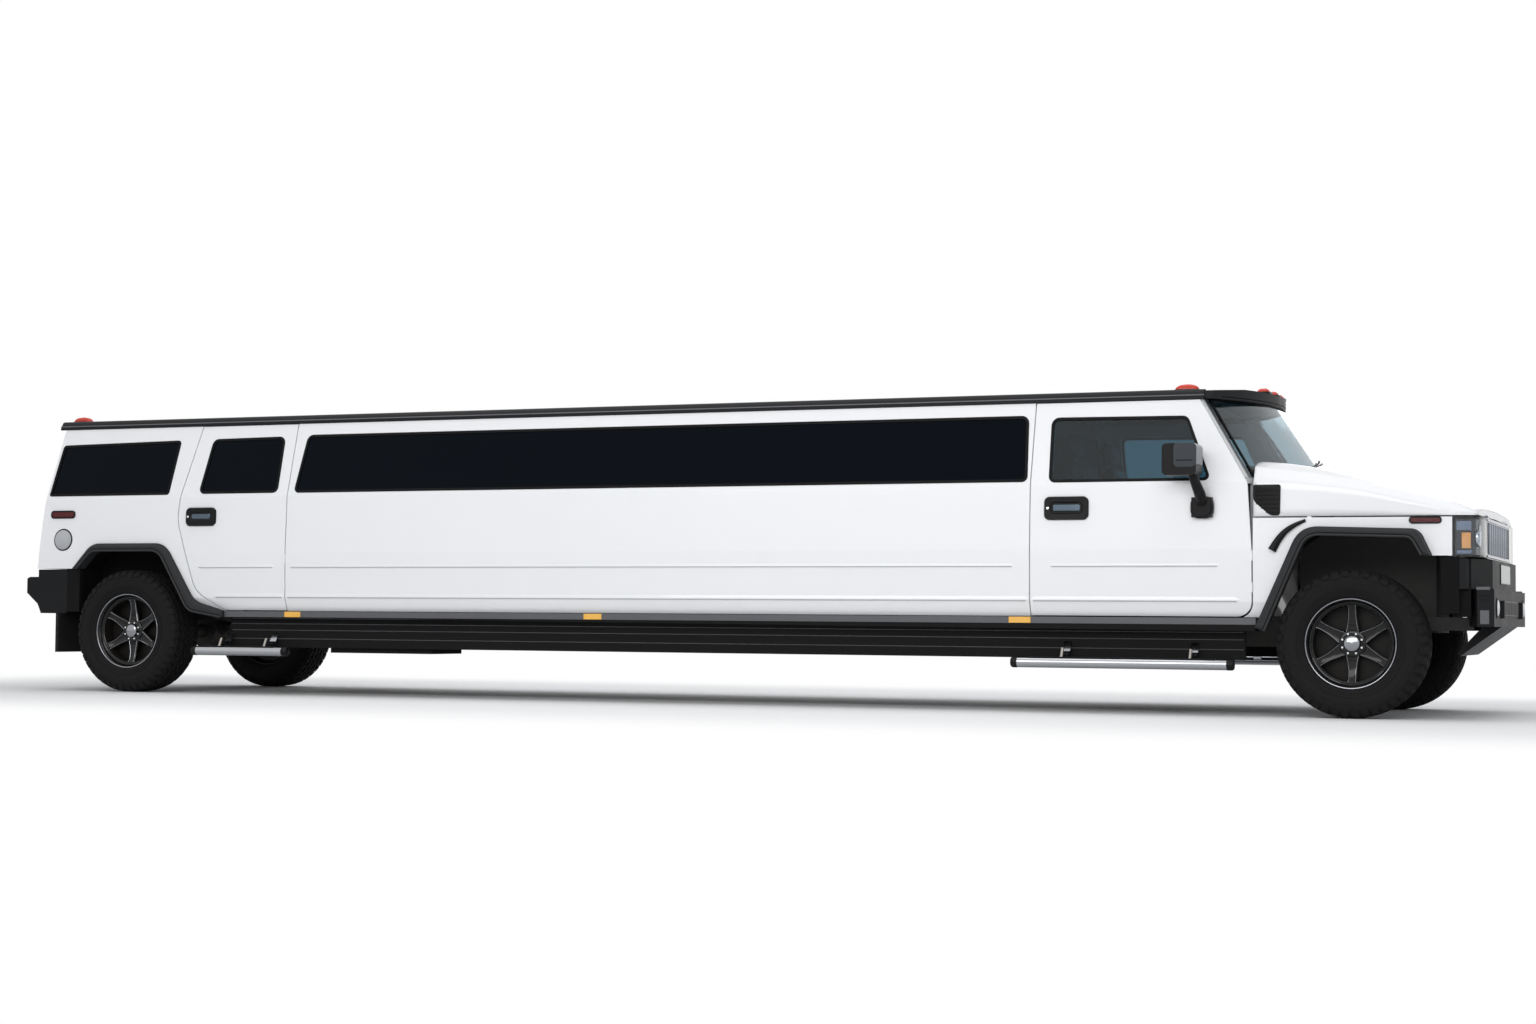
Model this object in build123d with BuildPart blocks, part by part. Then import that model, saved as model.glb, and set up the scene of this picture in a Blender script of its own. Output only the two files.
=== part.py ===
from build123d import *
from math import cos, radians, sin
import os

os.makedirs("parts", exist_ok=True)

# A stretched sport-utility limousine. +X points forward, +Y to its left, +Z up.
# The origin is on the ground under the middle of the overall box. All sizes are in mm.

# Overall sizes
WHEELBASE = 8707
FRONT_OVERHANG = 825
REAR_OVERHANG = 933
OVERALL_LENGTH = FRONT_OVERHANG + WHEELBASE + REAR_OVERHANG
REAR_BUMPER_REACH = 103
TYRE_RADIUS = 440
TYRE_WIDTH = 315
TYRE_OUTER_Y = 1040
FRONT_END_X = OVERALL_LENGTH / 2
FRONT_AXLE_X = FRONT_END_X - FRONT_OVERHANG
REAR_AXLE_X = FRONT_AXLE_X - WHEELBASE
REAR_END_X = -OVERALL_LENGTH / 2
AXLE_Z = TYRE_RADIUS

# Body side: heights and the half width of the body at each of them
SILL_Z = 591
CREASE_Z = 682
WAIST_Z = 1000
BELT_Z = 1400
DRIP_Z = 1925
ROOF_EDGE_Z = 1975
ROOF_CROWN_Z = 2000
SILL_HALF = 948
CREASE_HALF = 984
WAIST_HALF = 990
BELT_HALF = 975
DRIP_HALF = 838
ROOF_EDGE_HALF = 810
SIDE_PROFILE = [
    (SILL_Z, SILL_HALF),
    (CREASE_Z, CREASE_HALF),
    (WAIST_Z, WAIST_HALF),
    (BELT_Z, BELT_HALF),
    (DRIP_Z, DRIP_HALF),
]

# Panel thicknesses and gaps
WALL_T = 60
SKIN_T = 12
DOOR_T = 70
JAMB_DEPTH = 20
DOOR_GAP = 8
DOOR_RETURN = 25
JAMB_GAP = 20
GLASS_DEPTH = 5
GLASS_T = 6
SEAT_GAP = 0.3
TOP_LIP = 20

# Stations along the body, measured from the nearer axle
FRONT_DOOR_FRONT_X = FRONT_AXLE_X - 582
FRONT_DOOR_REAR_X = FRONT_AXLE_X - 1960
REAR_DOOR_FRONT_X = REAR_AXLE_X + 1317
BODY_REAR_X = REAR_END_X + REAR_BUMPER_REACH

# Windshield: x of its corners and of its middle at the two heights
SCREEN_LOW_Z = 1430
SCREEN_LOW_CORNER = (FRONT_AXLE_X - 598, 907)
SCREEN_LOW_MIDDLE_X = FRONT_AXLE_X - 280
SCREEN_TOP_CORNER = (FRONT_AXLE_X - 904, 778)
SCREEN_TOP_MIDDLE_X = FRONT_AXLE_X - 600
SCREEN_T = 8

# Underbody
FLOOR_Z = 600
FLOOR_T = 40
RAIL_Y = 430
RAIL_WIDTH = 80
RAIL_BOTTOM_Z = 520
SKIRT_BOTTOM_Z = 333
SKIRT_HALF = 900
SKIRT_T = 30
ROCKER_HALF = 985
ROCKER_TOP_Z = 586
ROCKER_REAR_BOTTOM_Z = 545
ROCKER_FRONT_BOTTOM_Z = 507
FLARE_OUTER_Y = 1031
FLARE_INNER_Y = 930
FENDER_T = 30
FENDER_TAPER = 57
HOOD_SEAM_Z = 1189
HOOD_T = 24

# Steering and hubs
KINGPIN_Y = 700
RIM_RADIUS = 254
HUB_RADIUS = 46


def half_width(height):
    """Half width of the body side at a height, in straight runs between the profile's points."""
    for (z_a, y_a), (z_b, y_b) in zip(SIDE_PROFILE, SIDE_PROFILE[1:]):
        if height <= z_b:
            return y_a + (y_b - y_a) * (height - z_a) / (z_b - z_a)
    return SIDE_PROFILE[-1][1]


def slab_x(points, x_low, x_high):
    """Prism along X of an outline given as (y, z)."""
    with BuildPart() as slab:
        with BuildSketch(Plane.YZ.offset(x_low)):
            with BuildLine():
                Polyline(*points, close=True)
            make_face()
        extrude(amount=x_high - x_low)
    return slab.part


def slab_y(points, y_low, y_high, rounds=None, grow=0):
    """Prism along Y of an outline given as (x, z), with its corners rounded and its edge moved out."""
    with BuildPart() as slab:
        with BuildSketch(Plane.XZ.offset(-y_high)) as face:
            with BuildLine():
                Polyline(*points, close=True)
            make_face()
            if grow:
                offset(amount=grow, kind=Kind.INTERSECTION)
            for (x, z), radius in zip(points, rounds or []):
                if radius:
                    corner = face.vertices().sort_by_distance((x, z, 0))[0]
                    fillet(corner, radius=radius)
        extrude(amount=y_high - y_low)
    return slab.part


def slab_z(points, z_low, z_high):
    """Prism along Z of an outline given as (x, y)."""
    with BuildPart() as slab:
        with BuildSketch(Plane.XY.offset(z_low)):
            with BuildLine():
                Polyline(*points, close=True)
            make_face()
        extrude(amount=z_high - z_low)
    return slab.part


def block(x_range, y_range, z_range):
    """Plain box between two corners."""
    return slab_z(
        [
            (x_range[0], y_range[0]),
            (x_range[1], y_range[0]),
            (x_range[1], y_range[1]),
            (x_range[0], y_range[1]),
        ],
        z_range[0],
        z_range[1],
    )


def rod(start, end, radius):
    """Round bar between two points."""
    line = Vector(*end) - Vector(*start)
    with BuildPart() as bar:
        with BuildSketch(Plane(origin=start, z_dir=line)):
            Circle(radius)
        extrude(amount=line.length)
    return bar.part


def pipe(points, radius, bend):
    """Round tube along a path with rounded corners."""
    with BuildPart() as run:
        with BuildLine() as path:
            FilletPolyline(*points, radius=bend)
        start = path.line @ 0
        heading = path.line % 0
        with BuildSketch(Plane(origin=start, z_dir=heading)):
            Circle(radius)
        sweep()
    return run.part


def joined(*solids):
    """One solid made of solids that overlap or touch."""
    with BuildPart() as whole:
        for solid in solids:
            add(solid)
    return whole.part


def cut(base, *tools):
    """A solid with others taken away from it."""
    with BuildPart() as rest:
        add(base)
        for tool in tools:
            add(tool, mode=Mode.SUBTRACT)
    return rest.part


def common(base, tool):
    """What two solids share."""
    with BuildPart() as shared:
        add(base)
        add(tool, mode=Mode.INTERSECT)
    return shared.part


def mirrored(solid):
    """The same solid on the left side."""
    return mirror(solid, about=Plane.XZ, mode=Mode.PRIVATE)


def save(solid, name):
    """Label a finished piece and write it."""
    with BuildPart() as piece:
        add(solid)
    piece.part.label = name
    export_step(piece.part, f"parts/{name}.step")


def save_pair(solid, name):
    """Write a piece of the right side and its twin on the left."""
    save(solid, f"{name}_right")
    save(mirrored(solid), f"{name}_left")


def save_both(solid, name):
    """Write a piece and its twin as one node."""
    save(joined(solid, mirrored(solid)), name)


def wall_slice(x_low, x_high, depth_out, depth_in, z_low, z_high):
    """A layer of the right body wall between two depths under its outer face."""
    heights = [z_low] + [z for z, _ in SIDE_PROFILE if z_low < z < z_high] + [z_high]
    outer = [(depth_out - half_width(z), z) for z in heights]
    inner = [(depth_in - half_width(z), z) for z in reversed(heights)]
    return slab_x(outer + inner, x_low, x_high)


def through(points, rounds=None, grow=0):
    """Cutter along Y that covers the whole right side."""
    return slab_y(points, -FLARE_OUTER_Y - 100, -400, rounds, grow)


# Seams, windows and arches, as (x, z) with the corner's radius third
FRONT_DOOR = [
    (FRONT_DOOR_REAR_X, SILL_Z, 0),
    (FRONT_DOOR_FRONT_X, SILL_Z, 95),
    (FRONT_DOOR_FRONT_X, WAIST_Z, 0),
    (FRONT_AXLE_X - 609, BELT_Z, 0),
    (FRONT_AXLE_X - 925, DRIP_Z - 4, 0),
    (FRONT_DOOR_REAR_X, DRIP_Z - 4, 0),
]
FRONT_WINDOW = [
    (FRONT_DOOR_REAR_X + 122, 1420, 35),
    (FRONT_DOOR_FRONT_X - 258, 1420, 25),
    (FRONT_DOOR_FRONT_X - 418, 1812, 45),
    (FRONT_DOOR_REAR_X + 112, 1820, 45),
]
REAR_DOOR = [
    (REAR_DOOR_FRONT_X, SILL_Z, 0),
    (REAR_DOOR_FRONT_X, DRIP_Z - 4, 0),
    (REAR_AXLE_X + 510, DRIP_Z - 4, 0),
    (REAR_AXLE_X + 415, 1412, 150),
    (REAR_AXLE_X + 395, 1240, 300),
    (REAR_AXLE_X + 560, 730, 200),
    (REAR_AXLE_X + 800, SILL_Z, 150),
]
REAR_WINDOW = [
    (REAR_AXLE_X + 571, 1430, 35),
    (REAR_DOOR_FRONT_X - 90, 1430, 35),
    (REAR_DOOR_FRONT_X - 96, 1825, 45),
    (REAR_AXLE_X + 622, 1818, 45),
]
CENTRE_WINDOW = [
    (REAR_DOOR_FRONT_X + 56, 1428, 30),
    (FRONT_DOOR_REAR_X - 26, 1426, 30),
    (FRONT_DOOR_REAR_X - 46, 1836, 45),
    (REAR_DOOR_FRONT_X + 100, 1832, 45),
]
QUARTER_WINDOW = [
    (BODY_REAR_X + 85, 1427, 12),
    (REAR_AXLE_X + 303, 1427, 18),
    (REAR_AXLE_X + 334, 1815, 22),
    (BODY_REAR_X + 132, 1798, 22),
]
FRONT_FLARE_OUT = [
    (FRONT_AXLE_X - 561, 527, 0),
    (FRONT_AXLE_X - 296, 1128, 160),
    (FRONT_AXLE_X + 385, 1110, 80),
    (FRONT_AXLE_X + 455, 958, 0),
]
FRONT_FLARE_IN = [
    (FRONT_AXLE_X - 505, 508, 0),
    (FRONT_AXLE_X - 259, 1084, 120),
    (FRONT_AXLE_X + 348, 1066, 60),
    (FRONT_AXLE_X + 408, 958, 0),
]
REAR_FLARE_OUT = [
    (REAR_AXLE_X - 500, 890, 0),
    (REAR_AXLE_X - 334, 1067, 130),
    (REAR_AXLE_X + 300, 1067, 160),
    (REAR_AXLE_X + 560, 655, 160),
    (REAR_AXLE_X + 810, SILL_Z - 5, 0),
]
REAR_FLARE_IN = [
    (REAR_AXLE_X - 450, 890, 0),
    (REAR_AXLE_X - 318, 1020, 100),
    (REAR_AXLE_X + 268, 1020, 130),
    (REAR_AXLE_X + 530, 590, 120),
    (REAR_AXLE_X + 810, ROCKER_REAR_BOTTOM_Z, 0),
]
REAR_EDGE = [
    (BODY_REAR_X, 890),
    (BODY_REAR_X + 35, 1251),
    (BODY_REAR_X + 59, 1427),
    (BODY_REAR_X + 117, DRIP_Z),
]

# Tailgate's top edge and its hinge
GATE_TOP_Z = DRIP_Z - 10
gate_slope = (REAR_EDGE[3][0] - REAR_EDGE[2][0]) / (REAR_EDGE[3][1] - REAR_EDGE[2][1])
gate_top_x = REAR_EDGE[2][0] + gate_slope * (GATE_TOP_Z - REAR_EDGE[2][1])
GATE_HINGE_RADIUS = 7
GATE_HINGE_Z = GATE_TOP_Z + 12
LUG_Y = (440, 520, 560)


def outline(table):
    """The points of a table of corners."""
    return [(x, z) for x, z, _ in table]


def radii(table):
    """The corner radii of a table of corners."""
    return [radius for _, _, radius in table]


def table_cutter(table, grow=0):
    """Cutter through the right side for a table of corners."""
    return through(outline(table), radii(table), grow)


def pane(table, x_low, x_high):
    """Glass that sits in a window of the right side."""
    sheet = wall_slice(x_low, x_high, GLASS_DEPTH, GLASS_DEPTH + GLASS_T, WAIST_Z, DRIP_Z)
    return common(sheet, table_cutter(table, -SEAT_GAP))


def side_door(table, window, x_low, x_high):
    """A door of the right side: an outer skin and an inner box set in from its edge."""
    skin = common(
        wall_slice(x_low, x_high, 0, SKIN_T, SILL_Z, DRIP_Z),
        table_cutter(table, -DOOR_GAP / 2),
    )
    inner = common(
        wall_slice(x_low, x_high, SKIN_T, DOOR_T, SILL_Z, DRIP_Z),
        table_cutter(table, -DOOR_GAP / 2 - DOOR_RETURN),
    )
    return cut(joined(skin, inner), table_cutter(window))


def body_wall(border, x_low, x_high, *doors):
    """A fixed wall of the right side, rebated where a door closes on it."""
    skin = common(wall_slice(x_low, x_high, 0, JAMB_DEPTH, SILL_Z, DRIP_Z), through(border))
    inner = common(
        wall_slice(x_low, x_high, JAMB_DEPTH, WALL_T, SILL_Z, DRIP_Z - TOP_LIP), through(border)
    )
    for door in doors:
        skin = cut(skin, table_cutter(door, DOOR_GAP / 2))
        inner = cut(inner, table_cutter(door, JAMB_GAP - DOOR_GAP / 2 - DOOR_RETURN))
    return joined(skin, inner)


# Door handles: a raised frame on each door, as x of the middle, z of the middle, length, height
HANDLE_PROUD = 9


def handle_pad(x_middle, z_middle, length, height):
    """Raised frame of a door handle."""
    pad = wall_slice(
        x_middle - length / 2,
        x_middle + length / 2,
        -HANDLE_PROUD,
        SKIN_T / 2,
        z_middle - height / 2,
        z_middle + height / 2,
    )
    return pad


# Door hinges: barrels that stand in the gap ahead of each door, on its outer edge
HINGE_Y = WAIST_HALF + 2
HINGE_RADIUS = DOOR_GAP / 2 - SEAT_GAP
HINGE_HEIGHTS = [(740, 800), (930, 990)]


def hinge_barrels(x):
    """Hinge barrels of a door of the right side, with the webs that hold them."""
    pieces = []
    for z_low, z_high in HINGE_HEIGHTS:
        pieces.append(rod((x, -HINGE_Y, z_low), (x, -HINGE_Y, z_high), HINGE_RADIUS))
        pieces.append(block((x - SKIN_T, x), (-HINGE_Y, -HINGE_Y + SKIN_T), (z_low, z_high)))
    return pieces


# Doors
front_handle = handle_pad(FRONT_DOOR_REAR_X + 233, 1254, 264, 128)
rear_handle = handle_pad(REAR_AXLE_X + 601, 1259, 236, 116)
front_door = side_door(FRONT_DOOR, FRONT_WINDOW, FRONT_DOOR_REAR_X, FRONT_DOOR_FRONT_X)
rear_door = side_door(REAR_DOOR, REAR_WINDOW, REAR_AXLE_X + 380, REAR_DOOR_FRONT_X)
save_pair(joined(front_door, front_handle, *hinge_barrels(FRONT_DOOR_FRONT_X)), "front_door")
save_pair(joined(rear_door, rear_handle, *hinge_barrels(REAR_DOOR_FRONT_X)), "rear_door")
save_pair(pane(FRONT_WINDOW, FRONT_DOOR_REAR_X, FRONT_DOOR_FRONT_X), "front_door_glass")
save_pair(pane(REAR_WINDOW, REAR_AXLE_X + 380, REAR_DOOR_FRONT_X), "rear_door_glass")

# Door mirrors: head, arm and foot on the front door
MIRROR_HEAD_X = (FRONT_AXLE_X - 1083, FRONT_AXLE_X - 875)
MIRROR_HEAD_Y = (-1190, -1020)
MIRROR_HEAD_Z = (1436, 1627)
MIRROR_FOOT_X = FRONT_AXLE_X - 880
MIRROR_FOOT_Z = 1250
foot_y = -half_width(MIRROR_FOOT_Z)
mirror_foot = wall_slice(
    MIRROR_FOOT_X - 62, MIRROR_FOOT_X + 62, -40, -SEAT_GAP, MIRROR_FOOT_Z - 60, MIRROR_FOOT_Z + 60
)
mirror_arm_path = [
    (MIRROR_FOOT_X, foot_y - 20, MIRROR_FOOT_Z + 20),
    (MIRROR_FOOT_X, MIRROR_HEAD_Y[1] - 50, MIRROR_FOOT_Z + 60),
    (MIRROR_FOOT_X - 35, MIRROR_HEAD_Y[1] - 60, MIRROR_HEAD_Z[0] + 60),
]
mirror_head = block(MIRROR_HEAD_X, MIRROR_HEAD_Y, MIRROR_HEAD_Z)
with BuildPart() as mirror_shell:
    add(mirror_head)
    fillet(mirror_shell.edges().filter_by(Axis.Y), radius=28)
save_pair(joined(mirror_foot, pipe(mirror_arm_path, 20, 35), mirror_shell.part), "mirror")

# Fixed side panels between and behind the doors
centre_border = [
    (REAR_DOOR_FRONT_X + DOOR_GAP / 2, SILL_Z),
    (FRONT_DOOR_REAR_X - DOOR_GAP / 2, SILL_Z),
    (FRONT_DOOR_REAR_X - DOOR_GAP / 2, DRIP_Z),
    (REAR_DOOR_FRONT_X + DOOR_GAP / 2, DRIP_Z),
]
centre_jamb = DOOR_GAP / 2 + DOOR_RETURN - JAMB_GAP
centre_inner_border = [
    (REAR_DOOR_FRONT_X - centre_jamb, SILL_Z),
    (FRONT_DOOR_REAR_X + centre_jamb, SILL_Z),
    (FRONT_DOOR_REAR_X + centre_jamb, DRIP_Z - TOP_LIP),
    (REAR_DOOR_FRONT_X - centre_jamb, DRIP_Z - TOP_LIP),
]
centre_x = (REAR_DOOR_FRONT_X - centre_jamb, FRONT_DOOR_REAR_X + centre_jamb)
centre_skin = common(
    wall_slice(*centre_x, 0, JAMB_DEPTH, SILL_Z, DRIP_Z), through(centre_border)
)
centre_inner = common(
    wall_slice(*centre_x, JAMB_DEPTH, WALL_T, SILL_Z, DRIP_Z - TOP_LIP),
    through(centre_inner_border),
)
centre_panel = cut(joined(centre_skin, centre_inner), table_cutter(CENTRE_WINDOW))
save_both(centre_panel, "centre_panels")

quarter_border = REAR_EDGE[:1] + [
    (REAR_AXLE_X - 501, 890),
    (REAR_AXLE_X - 501, SILL_Z),
    (REAR_AXLE_X + 915, SILL_Z),
    (REAR_AXLE_X + 800, SILL_Z + 40),
    (REAR_AXLE_X + 570, 790),
    (REAR_AXLE_X + 425, 1240),
    (REAR_AXLE_X + 445, 1412),
    (REAR_AXLE_X + 510, DRIP_Z - 12),
    (REAR_AXLE_X + 504, DRIP_Z),
] + REAR_EDGE[:0:-1]
arch_floor = [(REAR_AXLE_X + 810, 500), (REAR_AXLE_X - 500, 500)]
rear_arch_cutter = through(
    outline(REAR_FLARE_OUT) + arch_floor, radii(REAR_FLARE_OUT) + [0, 0], SEAT_GAP
)
quarter_wall = body_wall(quarter_border, BODY_REAR_X - 5, REAR_AXLE_X + 930, REAR_DOOR)
POST_Y = 720
POST_T = 80
post_heights = (890, DRIP_Z - TOP_LIP)
post_outline = REAR_EDGE[:3] + [
    (BODY_REAR_X + 114.7, DRIP_Z - TOP_LIP),
    (BODY_REAR_X + 114.7 + POST_T, DRIP_Z - TOP_LIP),
    (BODY_REAR_X + 59 + POST_T, 1427),
    (BODY_REAR_X + 35 + POST_T, 1251),
    (BODY_REAR_X + POST_T, 890),
]
post_slice_heights = [890, WAIST_Z, BELT_Z, DRIP_Z - TOP_LIP]
post_section = [(WALL_T / 2 - half_width(z), z) for z in post_slice_heights] + [
    (-POST_Y, post_heights[1]),
    (-POST_Y, post_heights[0]),
]
rear_post = common(
    slab_y(post_outline, -WAIST_HALF, -POST_Y + 1),
    slab_x(post_section, BODY_REAR_X - 5, BODY_REAR_X + 300),
)
quarter_panel = cut(
    joined(quarter_wall, rear_post), rear_arch_cutter, table_cutter(QUARTER_WINDOW)
)
save_both(quarter_panel, "quarter_panels")

centre_glass = pane(CENTRE_WINDOW, REAR_DOOR_FRONT_X, FRONT_DOOR_REAR_X)
quarter_glass = pane(QUARTER_WINDOW, BODY_REAR_X, REAR_AXLE_X + 400)
side_glass = joined(centre_glass, quarter_glass)
save_both(side_glass, "side_glass")

# Roof shell with the lips the doors close under
ROOF_REAR_X = BODY_REAR_X + 75
ROOF_INNER_Z = DRIP_Z + 15
lip_z = DRIP_Z - TOP_LIP
roof_half = [
    (DRIP_HALF, DRIP_Z),
    (ROOF_EDGE_HALF, ROOF_EDGE_Z),
    (ROOF_EDGE_HALF - 240, ROOF_CROWN_Z - 6),
]
roof_under = [
    (DRIP_HALF - WALL_T - 20, ROOF_INNER_Z),
    (half_width(lip_z) - WALL_T, lip_z),
    (half_width(lip_z) - JAMB_DEPTH, lip_z),
    (DRIP_HALF - JAMB_DEPTH, DRIP_Z),
]


def roof_ring(under):
    """Closed roof section: outer skin over a given underside, as half points on the right."""
    right = [(-y, z) for y, z in roof_half]
    left = [(y, z) for y, z in reversed(roof_half)]
    under_left = [(y, z) for y, z in reversed(under)]
    under_right = [(-y, z) for y, z in under]
    return right + left + under_left + under_right


roof_plain = roof_ring([(DRIP_HALF - WALL_T - 20, ROOF_INNER_Z), (DRIP_HALF - WALL_T, DRIP_Z)])
roof_front_x = FRONT_AXLE_X - 600
roof_body = slab_x(roof_plain, ROOF_REAR_X, roof_front_x + 10)


def arc_plate(corner_x, middle_x, half, back_x, z_low, z_high):
    """Plate whose front edge, seen from above, is an arc through two corners and a middle."""
    with BuildPart() as plate:
        with BuildSketch(Plane.XY.offset(z_low)):
            with BuildLine():
                ThreePointArc((corner_x, -half), (middle_x, 0), (corner_x, half))
                Polyline((corner_x, half), (back_x, half), (back_x, -half), (corner_x, -half))
            make_face()
        extrude(amount=z_high - z_low)
    return plate.part


ROOF_BROW = 12
roof_cutter = arc_plate(
    SCREEN_TOP_CORNER[0] + ROOF_BROW + 25,
    SCREEN_TOP_MIDDLE_X + ROOF_BROW,
    DRIP_HALF + 5,
    ROOF_REAR_X - 50,
    DRIP_Z - 100,
    ROOF_CROWN_Z + 50,
)


def door_lip(x_low, x_high):
    """Lip under the roof edge that a door's top closes against."""
    section = [(-y, z) for y, z in roof_under[1:]] + [(-(DRIP_HALF - WALL_T), DRIP_Z)]
    return slab_x(section, x_low, x_high)


jamb_reach = DOOR_GAP / 2 + DOOR_RETURN - JAMB_GAP
front_lip = door_lip(FRONT_DOOR_REAR_X + jamb_reach + SEAT_GAP, FRONT_AXLE_X - 965)
rear_lip = door_lip(REAR_AXLE_X + 535, REAR_DOOR_FRONT_X - jamb_reach - SEAT_GAP)
roof_lug_y = (-LUG_Y[2], -LUG_Y[1] - SEAT_GAP)
roof_lug = joined(
    rod(
        (gate_top_x, roof_lug_y[0], GATE_HINGE_Z),
        (gate_top_x, roof_lug_y[1], GATE_HINGE_Z),
        GATE_HINGE_RADIUS,
    ),
    block(
        (gate_top_x - GATE_HINGE_RADIUS, gate_top_x + GATE_HINGE_RADIUS),
        roof_lug_y,
        (GATE_HINGE_Z, ROOF_INNER_Z + 2),
    ),
)
roof_trimmed = common(
    joined(roof_body, front_lip, mirrored(front_lip), rear_lip, mirrored(rear_lip)), roof_cutter
)
roof = joined(roof_trimmed, roof_lug, mirrored(roof_lug))
save(roof, "roof")

# Front body frame: bulkhead, cowl and the two windshield pillars
BULKHEAD_X = FRONT_AXLE_X - 615
BULKHEAD_T = 30
COWL_Z = SCREEN_LOW_Z - 35


def screen_section(height, grow_in, grow_out):
    """Crescent of the windshield at a height, between two depths, as a face on its plane."""
    share = (height - SCREEN_LOW_Z) / (DRIP_Z - SCREEN_LOW_Z)
    corner_x = SCREEN_LOW_CORNER[0] + share * (SCREEN_TOP_CORNER[0] - SCREEN_LOW_CORNER[0])
    corner_y = SCREEN_LOW_CORNER[1] + share * (SCREEN_TOP_CORNER[1] - SCREEN_LOW_CORNER[1])
    middle_x = SCREEN_LOW_MIDDLE_X + share * (SCREEN_TOP_MIDDLE_X - SCREEN_LOW_MIDDLE_X)
    with BuildSketch(Plane.XY.offset(height), mode=Mode.PRIVATE) as face:
        with BuildLine():
            ThreePointArc(
                (corner_x + grow_out, -corner_y), (middle_x + grow_out, 0), (corner_x + grow_out, corner_y)
            )
            Line((corner_x + grow_out, corner_y), (corner_x - grow_in, corner_y))
            ThreePointArc(
                (corner_x - grow_in, corner_y), (middle_x - grow_in, 0), (corner_x - grow_in, -corner_y)
            )
            Line((corner_x - grow_in, -corner_y), (corner_x + grow_out, -corner_y))
        make_face()
    return face.sketch


with BuildPart() as screen:
    loft(
        [
            screen_section(SCREEN_LOW_Z + SEAT_GAP, SCREEN_T, 0).face(),
            screen_section(DRIP_Z - SEAT_GAP, SCREEN_T, 0).face(),
        ],
        ruled=True,
    )
save(screen.part, "windshield")

DOOR_EDGE_LOW_X = FRONT_AXLE_X - 609
DOOR_EDGE_TOP_X = FRONT_AXLE_X - 925
edge_rise = (SCREEN_LOW_Z - BELT_Z) / (DRIP_Z - 4 - BELT_Z)
door_edge_at_screen = DOOR_EDGE_LOW_X + edge_rise * (DOOR_EDGE_TOP_X - DOOR_EDGE_LOW_X)
PILLAR_SEAM = 6
PILLAR_LIP = 10
PILLAR_DEPTH = 40


def pillar_face(height, edge_x, edge_y, corner_x, corner_y):
    """Section of the right windshield pillar between the door's edge and the glass."""
    with BuildSketch(Plane.XY.offset(height), mode=Mode.PRIVATE) as face:
        with BuildLine():
            Polyline(
                (edge_x + PILLAR_SEAM, -edge_y),
                (corner_x, -corner_y - SEAT_GAP),
                (corner_x - PILLAR_DEPTH, -corner_y - SEAT_GAP),
                (edge_x - PILLAR_LIP, -edge_y + JAMB_DEPTH + 25),
                (edge_x - PILLAR_LIP, -edge_y + JAMB_DEPTH),
                (edge_x + PILLAR_SEAM, -edge_y + JAMB_DEPTH),
                close=True,
            )
        make_face()
    return face.sketch.face()


with BuildPart() as pillar:
    loft(
        [
            pillar_face(
                SCREEN_LOW_Z, door_edge_at_screen, half_width(SCREEN_LOW_Z), *SCREEN_LOW_CORNER
            ),
            pillar_face(DRIP_Z, DOOR_EDGE_TOP_X, DRIP_HALF, *SCREEN_TOP_CORNER),
        ],
        ruled=True,
    )
pillar_foot = slab_z(
    [
        (BULKHEAD_X - 12, -half_width(SCREEN_LOW_Z) + JAMB_DEPTH),
        (door_edge_at_screen + PILLAR_SEAM, -half_width(SCREEN_LOW_Z) + JAMB_DEPTH),
        (SCREEN_LOW_CORNER[0], -SCREEN_LOW_CORNER[1] - SEAT_GAP),
        (SCREEN_LOW_CORNER[0], -SCREEN_LOW_CORNER[1] + 60),
        (BULKHEAD_X - 12, -SCREEN_LOW_CORNER[1] + 60),
    ],
    COWL_Z,
    SCREEN_LOW_Z,
)
cowl_full = arc_plate(
    SCREEN_LOW_CORNER[0],
    SCREEN_LOW_MIDDLE_X + 12,
    SCREEN_LOW_CORNER[1] - 10,
    BULKHEAD_X,
    COWL_Z,
    SCREEN_LOW_Z,
)
bulkhead_side = half_width(FLOOR_Z) - DOOR_T - 12
bulkhead = block(
    (BULKHEAD_X, BULKHEAD_X + BULKHEAD_T), (-bulkhead_side, bulkhead_side), (FLOOR_Z, SCREEN_LOW_Z)
)
body_front_frame = joined(
    bulkhead, cowl_full, pillar_foot, mirrored(pillar_foot), pillar.part, mirrored(pillar.part)
)
save(body_front_frame, "front_body_frame")

# Front fenders, tapering forward, cut for the flare and the door
FENDER_FRONT_X = FRONT_AXLE_X + 571
FENDER_REAR_X = FRONT_AXLE_X - 660
fender_heights = [SILL_Z, CREASE_Z, WAIST_Z, HOOD_SEAM_Z - DOOR_GAP / 2]


def fender_taper(x):
    """How far the front of the body is drawn in at a station ahead of the door."""
    start = FRONT_DOOR_FRONT_X
    return max(0, FENDER_TAPER * (x - start) / (FENDER_FRONT_X - start))


def fender_section(x):
    """Wall section of the right fender at a station."""
    outer = [(fender_taper(x) - half_width(z), z) for z in fender_heights]
    inner = [(y + FENDER_T, z) for y, z in reversed(outer)]
    with BuildSketch(Plane.YZ.offset(x), mode=Mode.PRIVATE) as face:
        with BuildLine():
            Polyline(*(outer + inner), close=True)
        make_face()
    return face.sketch.face()


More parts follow.
